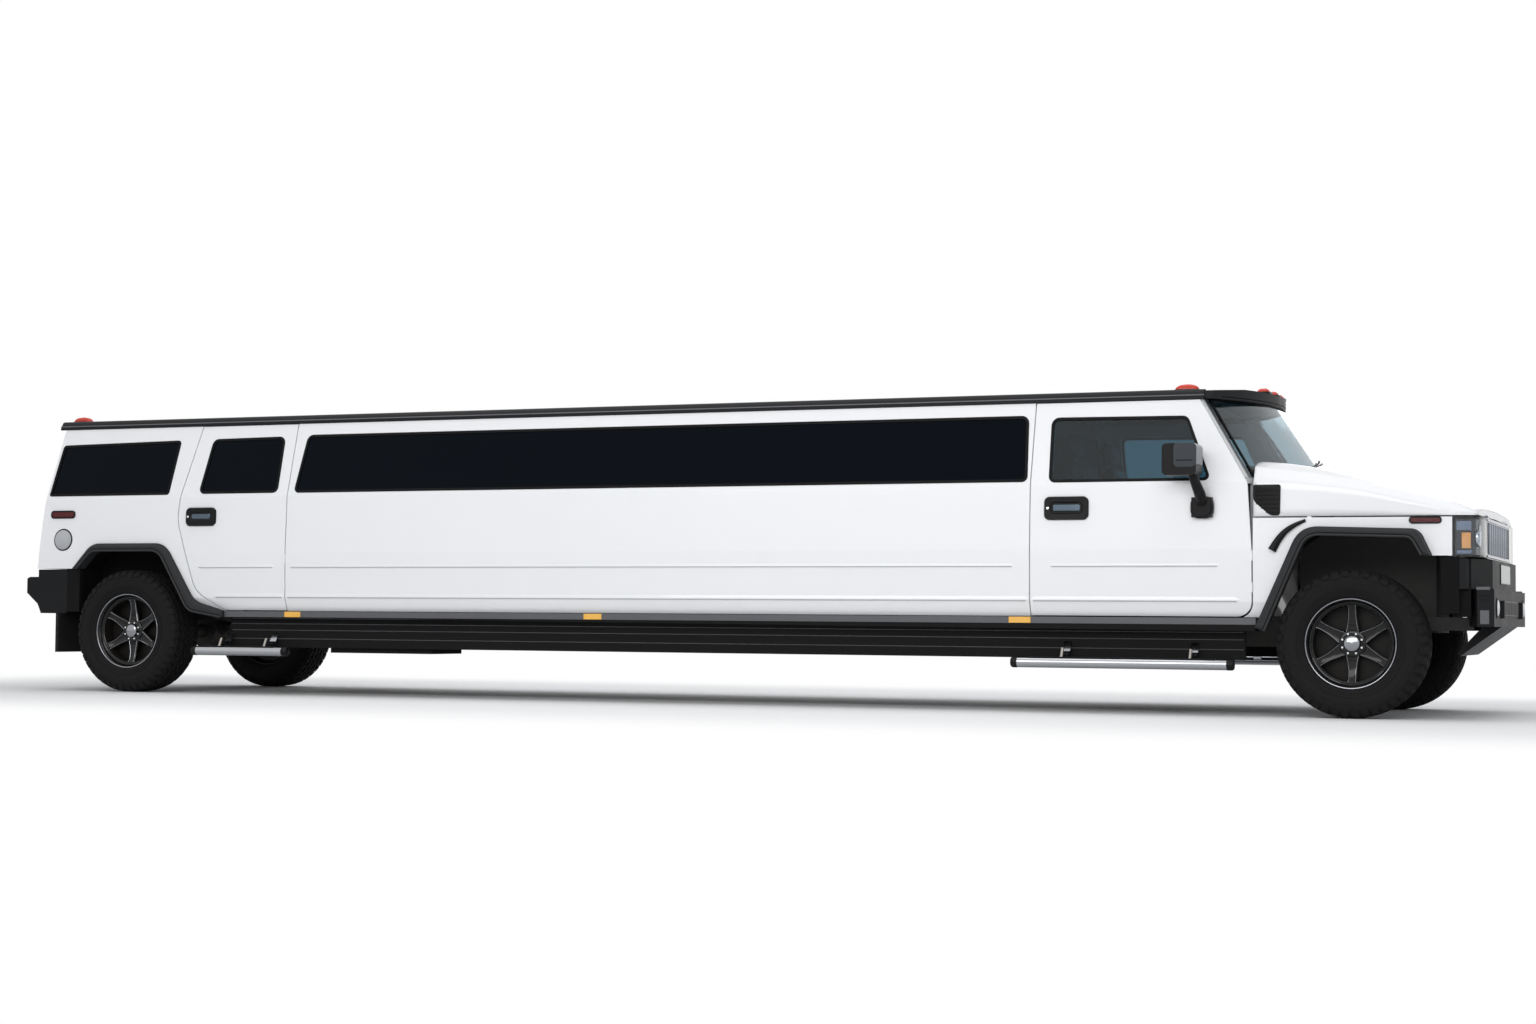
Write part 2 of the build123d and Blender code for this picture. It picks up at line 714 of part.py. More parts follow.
with BuildPart() as fender_shell:
    loft([fender_section(FENDER_REAR_X), fender_section(FRONT_DOOR_FRONT_X)], ruled=True)
    loft([fender_section(FRONT_DOOR_FRONT_X), fender_section(FENDER_FRONT_X)], ruled=True)
front_arch_floor = [
    (FRONT_AXLE_X + 900, 958),
    (FRONT_AXLE_X + 900, 450),
    (FRONT_AXLE_X - 561, 450),
]
front_arch_cutter = through(
    outline(FRONT_FLARE_OUT) + front_arch_floor, radii(FRONT_FLARE_OUT) + [0, 0, 0], SEAT_GAP
)
fender_behind = [
    (FRONT_DOOR_FRONT_X + DOOR_GAP / 2, WAIST_Z - 250),
    (FRONT_DOOR_FRONT_X + DOOR_GAP / 2, BELT_Z),
    (FRONT_DOOR_FRONT_X - 400, BELT_Z),
    (FRONT_DOOR_FRONT_X - 400, WAIST_Z - 250),
]
fender = cut(
    fender_shell.part, front_arch_cutter, table_cutter(FRONT_DOOR, DOOR_GAP / 2), through(fender_behind)
)
save_both(fender, "fenders")

# Hood: a shell lofted through sections, hinged at its front edge
HOOD_REAR_X = FRONT_DOOR_FRONT_X + DOOR_GAP
HOOD_FRONT_X = FRONT_AXLE_X + 718
HOOD_FRONT_T = 44
HOOD_HINGE_X = HOOD_FRONT_X + 10
HOOD_HINGE_Z = HOOD_SEAM_Z + 10
HOOD_HINGE_RADIUS = 6
# Columns: x, draw in, thickness, then (share of the half width, height) up to the middle
HOOD_SECTIONS = [
    (FRONT_AXLE_X - 590, 0, HOOD_T, [(1.0, 1400), (0.945, 1495), (0.83, 1532), (0.66, 1545), (0, 1590)]),
    (FRONT_AXLE_X - 330, 0, HOOD_T, [(1.0, 1390), (0.935, 1462), (0.82, 1506), (0.66, 1512), (0, 1530)]),
    (FRONT_AXLE_X + 30, 0, HOOD_T, [(1.0, 1345), (0.935, 1400), (0.82, 1428), (0.66, 1437), (0, 1450)]),
    (FRONT_AXLE_X + 560, 0, HOOD_T, [(1.0, 1225), (0.94, 1272), (0.83, 1295), (0.66, 1302), (0, 1312)]),
    (HOOD_FRONT_X, 14, HOOD_FRONT_T, [(1.0, 1200), (0.96, 1212), (0.85, 1228), (0.66, 1238), (0, 1246)]),
]


def hood_face(x, draw_in, thickness, tops):
    """Closed section of the hood shell at a station."""
    side = half_width(HOOD_SEAM_Z) - fender_taper(x) - draw_in
    bottom = HOOD_SEAM_Z + DOOR_GAP / 2
    outer = [(side, bottom)] + [(share * side, z) for share, z in tops]
    inner = [(side - thickness, bottom)]
    inner += [
        (max(share * side - thickness, 0), max(z - thickness, bottom + 0.5 + 0.5 * count))
        for count, (share, z) in enumerate(tops)
    ]
    ring = [(-y, z) for y, z in outer] + [(y, z) for y, z in outer[-2::-1]]
    ring += [(y, z) for y, z in inner] + [(-y, z) for y, z in inner[-2::-1]]
    with BuildSketch(Plane.YZ.offset(x), mode=Mode.PRIVATE) as face:
        with BuildLine():
            Polyline(*ring, close=True)
        make_face()
    return face.sketch.face()


with BuildPart() as hood_shell:
    for back, ahead in zip(HOOD_SECTIONS, HOOD_SECTIONS[1:]):
        loft([hood_face(*back), hood_face(*ahead)], ruled=True)
HOOD_SCREEN_GAP = 22
hood_rear_cut = arc_plate(
    SCREEN_LOW_CORNER[0] - 5,
    SCREEN_LOW_MIDDLE_X - 25 + HOOD_SCREEN_GAP,
    SCREEN_LOW_CORNER[1] - 20,
    FRONT_AXLE_X - 900,
    HOOD_SEAM_Z,
    ROOF_CROWN_Z,
)
hood_rear_trim = block(
    (FRONT_AXLE_X - 900, HOOD_REAR_X), (-WAIST_HALF - 10, WAIST_HALF + 10), (HOOD_SEAM_Z, ROOF_CROWN_Z)
)
hood = cut(hood_shell.part, hood_rear_cut, hood_rear_trim)

# Louvred vents in the hood's sides
VENT = [
    (FRONT_AXLE_X - 569, 1376, 6),
    (FRONT_AXLE_X - 569, 1290, 60),
    (FRONT_AXLE_X - 470, 1204, 40),
    (FRONT_AXLE_X - 424, 1204, 10),
    (FRONT_AXLE_X - 420, 1376, 6),
]
vent_face_y = half_width(HOOD_SEAM_Z) + 1
vent = slab_y(outline(VENT), -vent_face_y, -(vent_face_y - 30), radii(VENT), -SEAT_GAP)
vent_hole = table_cutter(VENT)
hood_lug = joined(
    slab_y(
        [
            (HOOD_FRONT_X - 30, HOOD_HINGE_Z + 13),
            (HOOD_FRONT_X, HOOD_HINGE_Z + 13),
            (HOOD_HINGE_X, HOOD_HINGE_Z + HOOD_HINGE_RADIUS),
            (HOOD_HINGE_X, HOOD_HINGE_Z - HOOD_HINGE_RADIUS),
            (HOOD_FRONT_X - 30, HOOD_HINGE_Z - HOOD_HINGE_RADIUS),
        ],
        -LUG_Y[1],
        -LUG_Y[0],
    ),
    rod(
        (HOOD_HINGE_X, -LUG_Y[1], HOOD_HINGE_Z),
        (HOOD_HINGE_X, -LUG_Y[0], HOOD_HINGE_Z),
        HOOD_HINGE_RADIUS,
    ),
)
hood = joined(cut(hood, vent_hole, mirrored(vent_hole)), hood_lug, mirrored(hood_lug))
save(hood, "hood")
save_both(vent, "hood_vents")


# Wheel arch flares
FLARE_CHAMFER = 16


def flare(outer, inner):
    """Flare band of the right side between two outlines, its outer edges bevelled."""
    band = slab_y(
        outline(outer) + outline(inner)[::-1],
        -FLARE_OUTER_Y,
        -FLARE_INNER_Y,
        radii(outer) + radii(inner)[::-1],
    )
    with BuildPart() as bevelled:
        add(band)
        chamfer(bevelled.faces().sort_by(Axis.Y)[0].edges(), length=FLARE_CHAMFER)
    return bevelled.part


front_flare = flare(FRONT_FLARE_OUT, FRONT_FLARE_IN)
rear_flare = flare(REAR_FLARE_OUT, REAR_FLARE_IN)
save_both(joined(front_flare, rear_flare), "flares")

# Arch liners: front ones give the steered wheels room, rear ones close the wheel house
LINER_T = 8
FRONT_LINER_INNER_Y = 520
FRONT_LINER_OUTER_Y = half_width(HOOD_SEAM_Z) - FENDER_TAPER - FENDER_T - 1
liner_rear_x = BULKHEAD_X + BULKHEAD_T + LINER_T + SEAT_GAP
REAR_LINER_INNER_Y = 690
FRONT_LINER = [
    (liner_rear_x, 620),
    (liner_rear_x, 790),
    (FRONT_AXLE_X - 420, 980),
    (FRONT_AXLE_X - 250, 1096),
    (FRONT_AXLE_X + 350, 1078),
    (FRONT_AXLE_X + 470, 970),
    (FRONT_AXLE_X + 575, 820),
    (FRONT_AXLE_X + 575, 620),
]
REAR_LINER = [
    (REAR_AXLE_X - 475, 640),
    (REAR_AXLE_X - 475, 905),
    (REAR_AXLE_X - 330, 1028),
    (REAR_AXLE_X + 275, 1028),
    (REAR_AXLE_X + 475, 760),
    (REAR_AXLE_X + 475, 640),
]


def liner_shell(points, inner_y, outer_y):
    """Bent sheet over an open outline, open at its bottom."""
    sheet = slab_y(points, -outer_y, -inner_y, grow=LINER_T)
    void = slab_y(points, -outer_y - 1, -inner_y + 1)
    bottom = block(
        (points[0][0] - 20, points[-1][0] + 20),
        (-outer_y - 1, -inner_y + 1),
        (points[0][1] - 20, points[0][1]),
    )
    return cut(sheet, void, bottom)


front_liner = liner_shell(FRONT_LINER, FRONT_LINER_INNER_Y, FRONT_LINER_OUTER_Y)
rear_shell = liner_shell(REAR_LINER, REAR_LINER_INNER_Y, FLARE_INNER_Y - 2)
rear_wall = slab_y(REAR_LINER, -REAR_LINER_INNER_Y - LINER_T, -REAR_LINER_INNER_Y)
rear_liner = joined(rear_shell, rear_wall)
save_both(joined(front_liner, rear_liner), "arch_liners")

# Floor pan, notched for the rear wheels, with the panel under the tailgate
FLOOR_HALF = half_width(FLOOR_Z) - DOOR_T - 2
FLOOR_REAR_X = BODY_REAR_X + 40
notch_x = (REAR_AXLE_X - 475 - LINER_T, REAR_AXLE_X + 475 + LINER_T)
floor_plate = block(
    (FLOOR_REAR_X, BULKHEAD_X), (-FLOOR_HALF, FLOOR_HALF), (FLOOR_Z, FLOOR_Z + FLOOR_T)
)
notch = block(notch_x, (-FLOOR_HALF - 5, -REAR_LINER_INNER_Y), (FLOOR_Z - 5, FLOOR_Z + FLOOR_T + 5))
rear_upstand = block(
    (FLOOR_REAR_X, FLOOR_REAR_X + 30), (-POST_Y, POST_Y), (FLOOR_Z, 886)
)
save(cut(joined(floor_plate, rear_upstand), notch, mirrored(notch)), "floor_pan")

# Rockers: grey strip, inner sill and black skirt of each side
strip_front_x = FRONT_AXLE_X - 537
rocker_strip = slab_y(
    [
        (REAR_AXLE_X + 810 + SEAT_GAP, ROCKER_REAR_BOTTOM_Z),
        (REAR_AXLE_X + 810 + SEAT_GAP, ROCKER_TOP_Z),
        (strip_front_x, ROCKER_TOP_Z),
        (FRONT_AXLE_X - 563, 527),
        (FRONT_AXLE_X - 563, ROCKER_FRONT_BOTTOM_Z),
    ],
    -ROCKER_HALF,
    -SKIRT_HALF + SKIRT_T,
)
rocker_x = (REAR_AXLE_X + 810 + SEAT_GAP, FRONT_AXLE_X - 640)
skirt = block(
    rocker_x, (-SKIRT_HALF, -SKIRT_HALF + SKIRT_T), (SKIRT_BOTTOM_Z, ROCKER_REAR_BOTTOM_Z + 5)
)
inner_sill = block(rocker_x, (-SKIRT_HALF + 15, -820), (ROCKER_REAR_BOTTOM_Z + 15, FLOOR_Z))
save_both(joined(rocker_strip, skirt, inner_sill), "rockers")

# Ladder frame
FRONT_BUMPER_BACK_X = FRONT_AXLE_X + 640
FASCIA_X = FRONT_AXLE_X + 734
RAIL_X = (REAR_END_X + 190, FRONT_BUMPER_BACK_X - SEAT_GAP)
REAR_RUNG_X = REAR_AXLE_X + 707
RUNG_PITCH = (FRONT_AXLE_X - 1600 - REAR_RUNG_X) / 5
CROSSMEMBERS = [REAR_AXLE_X - 593] + [REAR_RUNG_X + count * RUNG_PITCH for count in range(6)]
right_rail = block(
    RAIL_X, (-RAIL_Y - RAIL_WIDTH / 2, -RAIL_Y + RAIL_WIDTH / 2), (RAIL_BOTTOM_Z, FLOOR_Z)
)
cross_length = 2 * RAIL_Y - RAIL_WIDTH
rungs = [
    block(
        (station - 40, station + 40),
        (-cross_length / 2, cross_length / 2),
        (RAIL_BOTTOM_Z, FLOOR_Z - 35),
    )
    for station in CROSSMEMBERS
]
front_rung = block(
    (RAIL_X[1] - 60, RAIL_X[1]), (-cross_length / 2, cross_length / 2), (RAIL_BOTTOM_Z, FLOOR_Z)
)
# Square tow receiver under the rear crossmember, with its cross pin hole
RECEIVER_HALF = 25.5
RECEIVER_Z = RAIL_BOTTOM_Z - 38
receiver = cut(
    block((REAR_END_X + 60, RAIL_X[0] + 160), (-38, 38), (RECEIVER_Z - 38, RECEIVER_Z + 38)),
    block(
        (REAR_END_X + 50, RAIL_X[0] + 100),
        (-RECEIVER_HALF, RECEIVER_HALF),
        (RECEIVER_Z - RECEIVER_HALF, RECEIVER_Z + RECEIVER_HALF),
    ),
    rod((REAR_END_X + 120, -60, RECEIVER_Z), (REAR_END_X + 120, 60, RECEIVER_Z), 8),
)
receiver_post = block((REAR_END_X + 155, REAR_END_X + 215), (-38, 38), (RECEIVER_Z + 37, FLOOR_Z))
frame_rails = joined(
    right_rail, mirrored(right_rail), front_rung, *rungs, receiver, receiver_post
)
save(frame_rails, "frame_rails")

# Engine, gearbox with propeller shaft, exhaust and fuel tank
ENGINE_X = (FRONT_AXLE_X - 420, FRONT_AXLE_X + 400)
engine = joined(
    block(ENGINE_X, (-300, 300), (FLOOR_Z - 95, 1180)),
    block(
        (FRONT_AXLE_X - 40, FRONT_AXLE_X + 40),
        (-RAIL_Y + RAIL_WIDTH / 2, RAIL_Y - RAIL_WIDTH / 2),
        (RAIL_BOTTOM_Z + 10, RAIL_BOTTOM_Z + 50),
    ),
)
save(engine, "engine")

SHAFT_Z = AXLE_Z + 25
SHAFT_RADIUS = 45
gearbox = block((ENGINE_X[0] - 1000, ENGINE_X[0]), (-170, 170), (FLOOR_Z - 190, FLOOR_Z))
DIFF_RADIUS = 125
shaft_end_x = REAR_AXLE_X + DIFF_RADIUS + 30
shaft = rod((ENGINE_X[0] - 1000, 0, SHAFT_Z), (shaft_end_x, 0, SHAFT_Z), SHAFT_RADIUS)
hangers = [
    block((station - 30, station + 30), (-70, 70), (SHAFT_Z - 60, RAIL_BOTTOM_Z - SEAT_GAP))
    for station in CROSSMEMBERS[2:6]
]
save(joined(gearbox, shaft, *hangers), "driveline")

EXHAUST_Y = 260
EXHAUST_Z = RAIL_BOTTOM_Z - 45
exhaust_path = [
    (ENGINE_X[0] - 400, EXHAUST_Y, EXHAUST_Z),
    (REAR_AXLE_X + 900, EXHAUST_Y, EXHAUST_Z),
    (REAR_AXLE_X + 640, SKIRT_HALF - 40, EXHAUST_Z),
]
MUFFLER_X = (REAR_RUNG_X + 1.3 * RUNG_PITCH, REAR_RUNG_X + 1.8 * RUNG_PITCH)
muffler = block(MUFFLER_X, (EXHAUST_Y - 120, EXHAUST_Y + 120), (EXHAUST_Z - 85, RAIL_BOTTOM_Z))
EXHAUST_RADIUS = 34
exhaust_hangers = [
    block(
        (station - 15, station + 15),
        (EXHAUST_Y - 12, EXHAUST_Y + 12),
        (EXHAUST_Z + EXHAUST_RADIUS / 2, RAIL_BOTTOM_Z - SEAT_GAP),
    )
    for station in CROSSMEMBERS[2:6]
]
save(joined(pipe(exhaust_path, EXHAUST_RADIUS, 180), muffler, *exhaust_hangers), "exhaust")

TANK_X = (REAR_AXLE_X + 1630, REAR_AXLE_X + 2450)
tank = block(TANK_X, (-SKIRT_HALF + SKIRT_T, -RAIL_Y - RAIL_WIDTH / 2), (300, RAIL_BOTTOM_Z))
tank_hang = block(
    (TANK_X[0] + 100, TANK_X[1] - 100), (-800, -RAIL_Y - RAIL_WIDTH / 2), (RAIL_BOTTOM_Z - 5, FLOOR_Z)
)
save(joined(tank, tank_hang), "fuel_tank")

# Rear axle on its spring seats
AXLE_TUBE_RADIUS = 52
STUB_END_Y = 900
rear_axle = joined(
    rod((REAR_AXLE_X, -KINGPIN_Y, AXLE_Z), (REAR_AXLE_X, KINGPIN_Y, AXLE_Z), AXLE_TUBE_RADIUS),
    rod((REAR_AXLE_X, -STUB_END_Y, AXLE_Z), (REAR_AXLE_X, STUB_END_Y, AXLE_Z), HUB_RADIUS),
    rod((REAR_AXLE_X, -110, AXLE_Z + 10), (REAR_AXLE_X, 110, AXLE_Z + 10), DIFF_RADIUS),
    rod((REAR_AXLE_X, 0, SHAFT_Z), (shaft_end_x - SEAT_GAP, 0, SHAFT_Z), 60),
    rod((REAR_AXLE_X, -RAIL_Y, AXLE_Z), (REAR_AXLE_X, -RAIL_Y, RAIL_BOTTOM_Z), 58),
    rod((REAR_AXLE_X, RAIL_Y, AXLE_Z), (REAR_AXLE_X, RAIL_Y, RAIL_BOTTOM_Z), 58),
)
save(rear_axle, "rear_axle")

# Front suspension: crossmember and arms that hold the knuckles top and bottom
JOINT_RISE = 148
BOSS_RADIUS = 38
BOSS_HEIGHT = 26
UPRIGHT_HALF = JOINT_RISE - BOSS_HEIGHT / 2 - SEAT_GAP
front_beam = block((FRONT_AXLE_X - 110, FRONT_AXLE_X + 110), (-380, 380), (280, 400))
beam_leg = block(
    (FRONT_AXLE_X - 90, FRONT_AXLE_X + 90),
    (-RAIL_Y - 20, -RAIL_Y + 60),
    (280, RAIL_BOTTOM_Z),
)


def control_arm(height, root_y):
    """Arm of the right side with its round end over or under the knuckle."""
    flat = block(
        (FRONT_AXLE_X - 34, FRONT_AXLE_X + 34),
        (-KINGPIN_Y, -root_y),
        (height - BOSS_HEIGHT / 2, height + BOSS_HEIGHT / 2),
    )
    boss = rod(
        (FRONT_AXLE_X, -KINGPIN_Y, height - BOSS_HEIGHT / 2),
        (FRONT_AXLE_X, -KINGPIN_Y, height + BOSS_HEIGHT / 2),
        BOSS_RADIUS,
    )
    return joined(flat, boss)


lower_arm = control_arm(AXLE_Z - JOINT_RISE, RAIL_Y - 10)
upper_arm = control_arm(AXLE_Z + JOINT_RISE, RAIL_Y + RAIL_WIDTH / 2)
front_suspension = joined(
    front_beam,
    beam_leg,
    mirrored(beam_leg),
    lower_arm,
    mirrored(lower_arm),
)
save(joined(front_suspension, upper_arm, mirrored(upper_arm)), "front_suspension")

# Steering knuckles with their spindles and brake calipers
SHIELD_RADIUS = 150
knuckle = joined(
    rod(
        (FRONT_AXLE_X, -KINGPIN_Y, AXLE_Z - UPRIGHT_HALF),
        (FRONT_AXLE_X, -KINGPIN_Y, AXLE_Z + UPRIGHT_HALF),
        32,
    ),
    rod((FRONT_AXLE_X, -KINGPIN_Y, AXLE_Z), (FRONT_AXLE_X, -STUB_END_Y, AXLE_Z), HUB_RADIUS),
    rod((FRONT_AXLE_X, -KINGPIN_Y - 46, AXLE_Z), (FRONT_AXLE_X, -KINGPIN_Y - 58, AXLE_Z), SHIELD_RADIUS),
    block(
        (FRONT_AXLE_X - 205, FRONT_AXLE_X - 120),
        (-KINGPIN_Y - 62, -KINGPIN_Y - 42),
        (AXLE_Z - 70, AXLE_Z + 70),
    ),
)
save_pair(knuckle, "knuckle")

# Wheels
WHEEL_MIDDLE_Y = TYRE_OUTER_Y - TYRE_WIDTH / 2
RIM_HALF = 125
LIP_RADIUS = RIM_RADIUS + 14
RIM_T = 12
DISC_OUT = 62
HUB_OUT = 75
BORE_GAP = 0.4
SPOKES = 6
# Tyre section: radius and distance outboard of the wheel's middle
TYRE_SECTION = [
    (RIM_RADIUS, RIM_HALF - 9),
    (LIP_RADIUS + 1, RIM_HALF + 3.5),
    (LIP_RADIUS + 4, RIM_HALF + 18),
    (RIM_RADIUS + 90, TYRE_WIDTH / 2),
    (TYRE_RADIUS - 40, TYRE_WIDTH / 2 - 8),
    (TYRE_RADIUS - 8, TYRE_WIDTH / 2 - 34),
    (TYRE_RADIUS, TYRE_WIDTH / 2 - 52),
]
# Rim section: radius and distance outboard of the wheel's middle
RIM_SECTION = [
    (RIM_RADIUS - RIM_T, -RIM_HALF + 14),
    (LIP_RADIUS - 10, -RIM_HALF - 9),
    (LIP_RADIUS, -RIM_HALF - 9),
    (LIP_RADIUS, -RIM_HALF - 3),
    (RIM_RADIUS - SEAT_GAP, -RIM_HALF + 9),
    (RIM_RADIUS - SEAT_GAP, RIM_HALF - 9),
    (LIP_RADIUS, RIM_HALF + 3),
    (LIP_RADIUS, RIM_HALF + 9),
    (LIP_RADIUS - 10, RIM_HALF + 9),
    (RIM_RADIUS - RIM_T, RIM_HALF - 14),
]


def turned(section, axle_x, side):
    """Solid turned about a wheel's axle from a section of radius and outboard distance."""
    with BuildPart() as body:
        middle = (axle_x, side * WHEEL_MIDDLE_Y, AXLE_Z)
        with BuildSketch(Plane(origin=middle, x_dir=(1, 0, 0), z_dir=(0, 0, 1))):
            with BuildLine():
                Polyline(*[(r, side * out) for r, out in section], close=True)
            make_face()
        revolve(axis=Axis((axle_x, 0, AXLE_Z), (0, 1, 0)))
    return body.part


def rim(axle_x, side):
    """Rim with its spokes, hub and cap."""
    barrel = turned(RIM_SECTION, axle_x, side)
    hub_section = [
        (HUB_RADIUS + BORE_GAP, -20),
        (80, -20),
        (80, DISC_OUT),
        (72, HUB_OUT),
        (0, HUB_OUT + 8),
        (0, STUB_END_Y - WHEEL_MIDDLE_Y + 6),
        (HUB_RADIUS + BORE_GAP, STUB_END_Y - WHEEL_MIDDLE_Y + 6),
    ]
    hub = turned(hub_section, axle_x, side)
    face_plane = Plane(
        origin=(axle_x, side * (WHEEL_MIDDLE_Y + DISC_OUT), AXLE_Z),
        x_dir=(1, 0, 0),
        z_dir=(0, side, 0),
    )
    with BuildPart() as spokes:
        with BuildSketch(face_plane):
            with PolarLocations(0, SPOKES):
                Polygon((60, -38), (246, -20), (246, 20), (60, 38), align=None)
        extrude(amount=-34)
    return joined(barrel, hub, spokes.part)


for place, axle_x in [("front", FRONT_AXLE_X), ("rear", REAR_AXLE_X)]:
    for side_name, side in [("right", -1), ("left", 1)]:
        tyre_ring = TYRE_SECTION + [(r, -out) for r, out in TYRE_SECTION[::-1]]
        save(turned(tyre_ring, axle_x, side), f"tyre_{place}_{side_name}")
        save(rim(axle_x, side), f"rim_{place}_{side_name}")

# Side steps: a tube on brackets under each door
STEP_Y = 1060
STEP_Z = 306
STEP_RADIUS = 32
# Columns: rear end x, front end x, then the brackets' x
STEPS = [
    (FRONT_AXLE_X - 2041, FRONT_AXLE_X - 687, [FRONT_AXLE_X - 1739, FRONT_AXLE_X - 944]),
    (REAR_AXLE_X + 616, REAR_AXLE_X + 1388, [REAR_AXLE_X + 820, REAR_AXLE_X + 1194]),
]
step_solids = []
for rear_x, front_x, posts in STEPS:
    tube = rod((rear_x, -STEP_Y, STEP_Z), (front_x, -STEP_Y, STEP_Z), STEP_RADIUS)
    brackets = [
        slab_x(
            [
                (-STEP_Y, STEP_Z - 12),
                (-STEP_Y, STEP_Z + 12),
                (-SKIRT_HALF - 40, STEP_Z + 70),
                (-SKIRT_HALF - SEAT_GAP, STEP_Z + 130),
                (-SKIRT_HALF - SEAT_GAP, STEP_Z + 90),
                (-SKIRT_HALF - 30, STEP_Z + 36),
            ],
            post - 25,
            post + 25,
        )
        for post in posts
    ]
    step_solids.append(joined(tube, *brackets))
step_bars = joined(*step_solids)
save_both(step_bars, "step_bars")

# Mud flaps hang under the ends of the rear bumper
BUMPER_BOTTOM_Z = 563
BUMPER_TOP_Z = 884
BUMPER_STEP_Z = 830
FLAP_X = (REAR_AXLE_X - 640, REAR_AXLE_X - 615)
flap = block(FLAP_X, (-1010, -740), (280, BUMPER_BOTTOM_Z - SEAT_GAP))
save_both(flap, "mud_flaps")

# Rear bumper: a stepped bar with ends that run forward to the wheel arches
BUMPER_HALF = 975
REAR_BUMPER_FRONT_X = REAR_AXLE_X - 553
rear_bar = slab_y(
    [
        (REAR_END_X, 713),
        (REAR_END_X, 818),
        (REAR_END_X + 25, BUMPER_STEP_Z),
        (BODY_REAR_X, BUMPER_STEP_Z),
        (BODY_REAR_X, BUMPER_TOP_Z),
        (FLOOR_REAR_X, BUMPER_TOP_Z),
        (FLOOR_REAR_X, BUMPER_BOTTOM_Z),
        (REAR_END_X + 128, BUMPER_BOTTOM_Z),
        (REAR_END_X + 98, 631),
    ],
    -BUMPER_HALF,
    BUMPER_HALF,
)
bumper_side = slab_y(
    [
        (FLOOR_REAR_X - 1, BUMPER_TOP_Z),
        (REAR_BUMPER_FRONT_X, BUMPER_TOP_Z),
        (REAR_BUMPER_FRONT_X - 20, BUMPER_BOTTOM_Z),
        (FLOOR_REAR_X - 1, BUMPER_BOTTOM_Z),
    ],
    -BUMPER_HALF,
    -BUMPER_HALF + 60,
)
rear_bumper = joined(rear_bar, bumper_side, mirrored(bumper_side))
save(rear_bumper, "rear_bumper")

# Front bumper: lower bar, upper block, skid plate and tow loops
BUMPER_FACE_X = FRONT_AXLE_X + 803
lower_bar = slab_z(
    [
        (BUMPER_FACE_X, -910),
        (BUMPER_FACE_X, 910),
        (BUMPER_FACE_X - 22, 935),
        (FRONT_AXLE_X + 710, 935),
        (FRONT_BUMPER_BACK_X, 700),
        (FRONT_BUMPER_BACK_X, -700),
        (FRONT_AXLE_X + 710, -935),
        (BUMPER_FACE_X - 22, -935),
    ],
    545,
    765,
)
upper_bar = slab_z(
    [
        (BUMPER_FACE_X - 33, -670),
        (BUMPER_FACE_X - 33, 670),
        (FRONT_AXLE_X + 650, 925),
        (FRONT_AXLE_X + 610, 925),
        (FRONT_BUMPER_BACK_X, 720),
        (FRONT_BUMPER_BACK_X, -720),
        (FRONT_AXLE_X + 610, -925),
        (FRONT_AXLE_X + 650, -925),
    ],
    764,
    940,
)
skid = slab_y(
    [
        (BUMPER_FACE_X - 3, 546),
        (BUMPER_FACE_X - 243, 369),
        (BUMPER_FACE_X - 263, 385),
        (BUMPER_FACE_X - 113, 546),
    ],
    -470,
    470,
)
TOW_LOOP_Y = 540
tow_loop = slab_z(
    [
        (BUMPER_FACE_X - 5, -TOW_LOOP_Y - 30),
        (FRONT_END_X, -TOW_LOOP_Y - 24),
        (FRONT_END_X, -TOW_LOOP_Y + 24),
        (BUMPER_FACE_X - 5, -TOW_LOOP_Y + 30),
    ],
    595,
    700,
)
save(joined(lower_bar, upper_bar, skid, tow_loop, mirrored(tow_loop)), "front_bumper")

# Radiator carrier, grille and lamps
CARRIER_X = (FRONT_BUMPER_BACK_X - 40, FRONT_BUMPER_BACK_X - SEAT_GAP)
CARRIER_HALF = 690
carrier = block(CARRIER_X, (-CARRIER_HALF, CARRIER_HALF), (941, HOOD_SEAM_Z - 3))
carrier_leg = block(CARRIER_X, (-RAIL_Y - 40, -RAIL_Y + 40), (FLOOR_Z, 942))
save(joined(carrier, carrier_leg, mirrored(carrier_leg)), "radiator_carrier")

GRILLE_X = (CARRIER_X[1], FASCIA_X)
GRILLE_HALF = 630
GRILLE_Z = (948, HOOD_SEAM_Z - 1)
GRILLE_BORDER = 26
GRILLE_BARS = 9
grille_frame = cut(
    block(GRILLE_X, (-GRILLE_HALF, GRILLE_HALF), GRILLE_Z),
    block(
        (GRILLE_X[0] - 5, GRILLE_X[1] + 5),
        (-GRILLE_HALF + GRILLE_BORDER, GRILLE_HALF - GRILLE_BORDER),
        (GRILLE_Z[0] + GRILLE_BORDER, GRILLE_Z[1] - GRILLE_BORDER),
    ),
)
bar_start = GRILLE_BORDER - GRILLE_HALF
bar_pitch = 2 * (GRILLE_HALF - GRILLE_BORDER) / (GRILLE_BARS + 1)
grille_bars = [
    block(
        (GRILLE_X[1] - 50, GRILLE_X[1] - 6),
        (bar_start + count * bar_pitch - 13, bar_start + count * bar_pitch + 13),
        (GRILLE_Z[0] + GRILLE_BORDER - 1, GRILLE_Z[1] - GRILLE_BORDER + 1),
    )
    for count in range(1, GRILLE_BARS + 1)
]
grille_lug_y = (-LUG_Y[2], -LUG_Y[1] - SEAT_GAP)
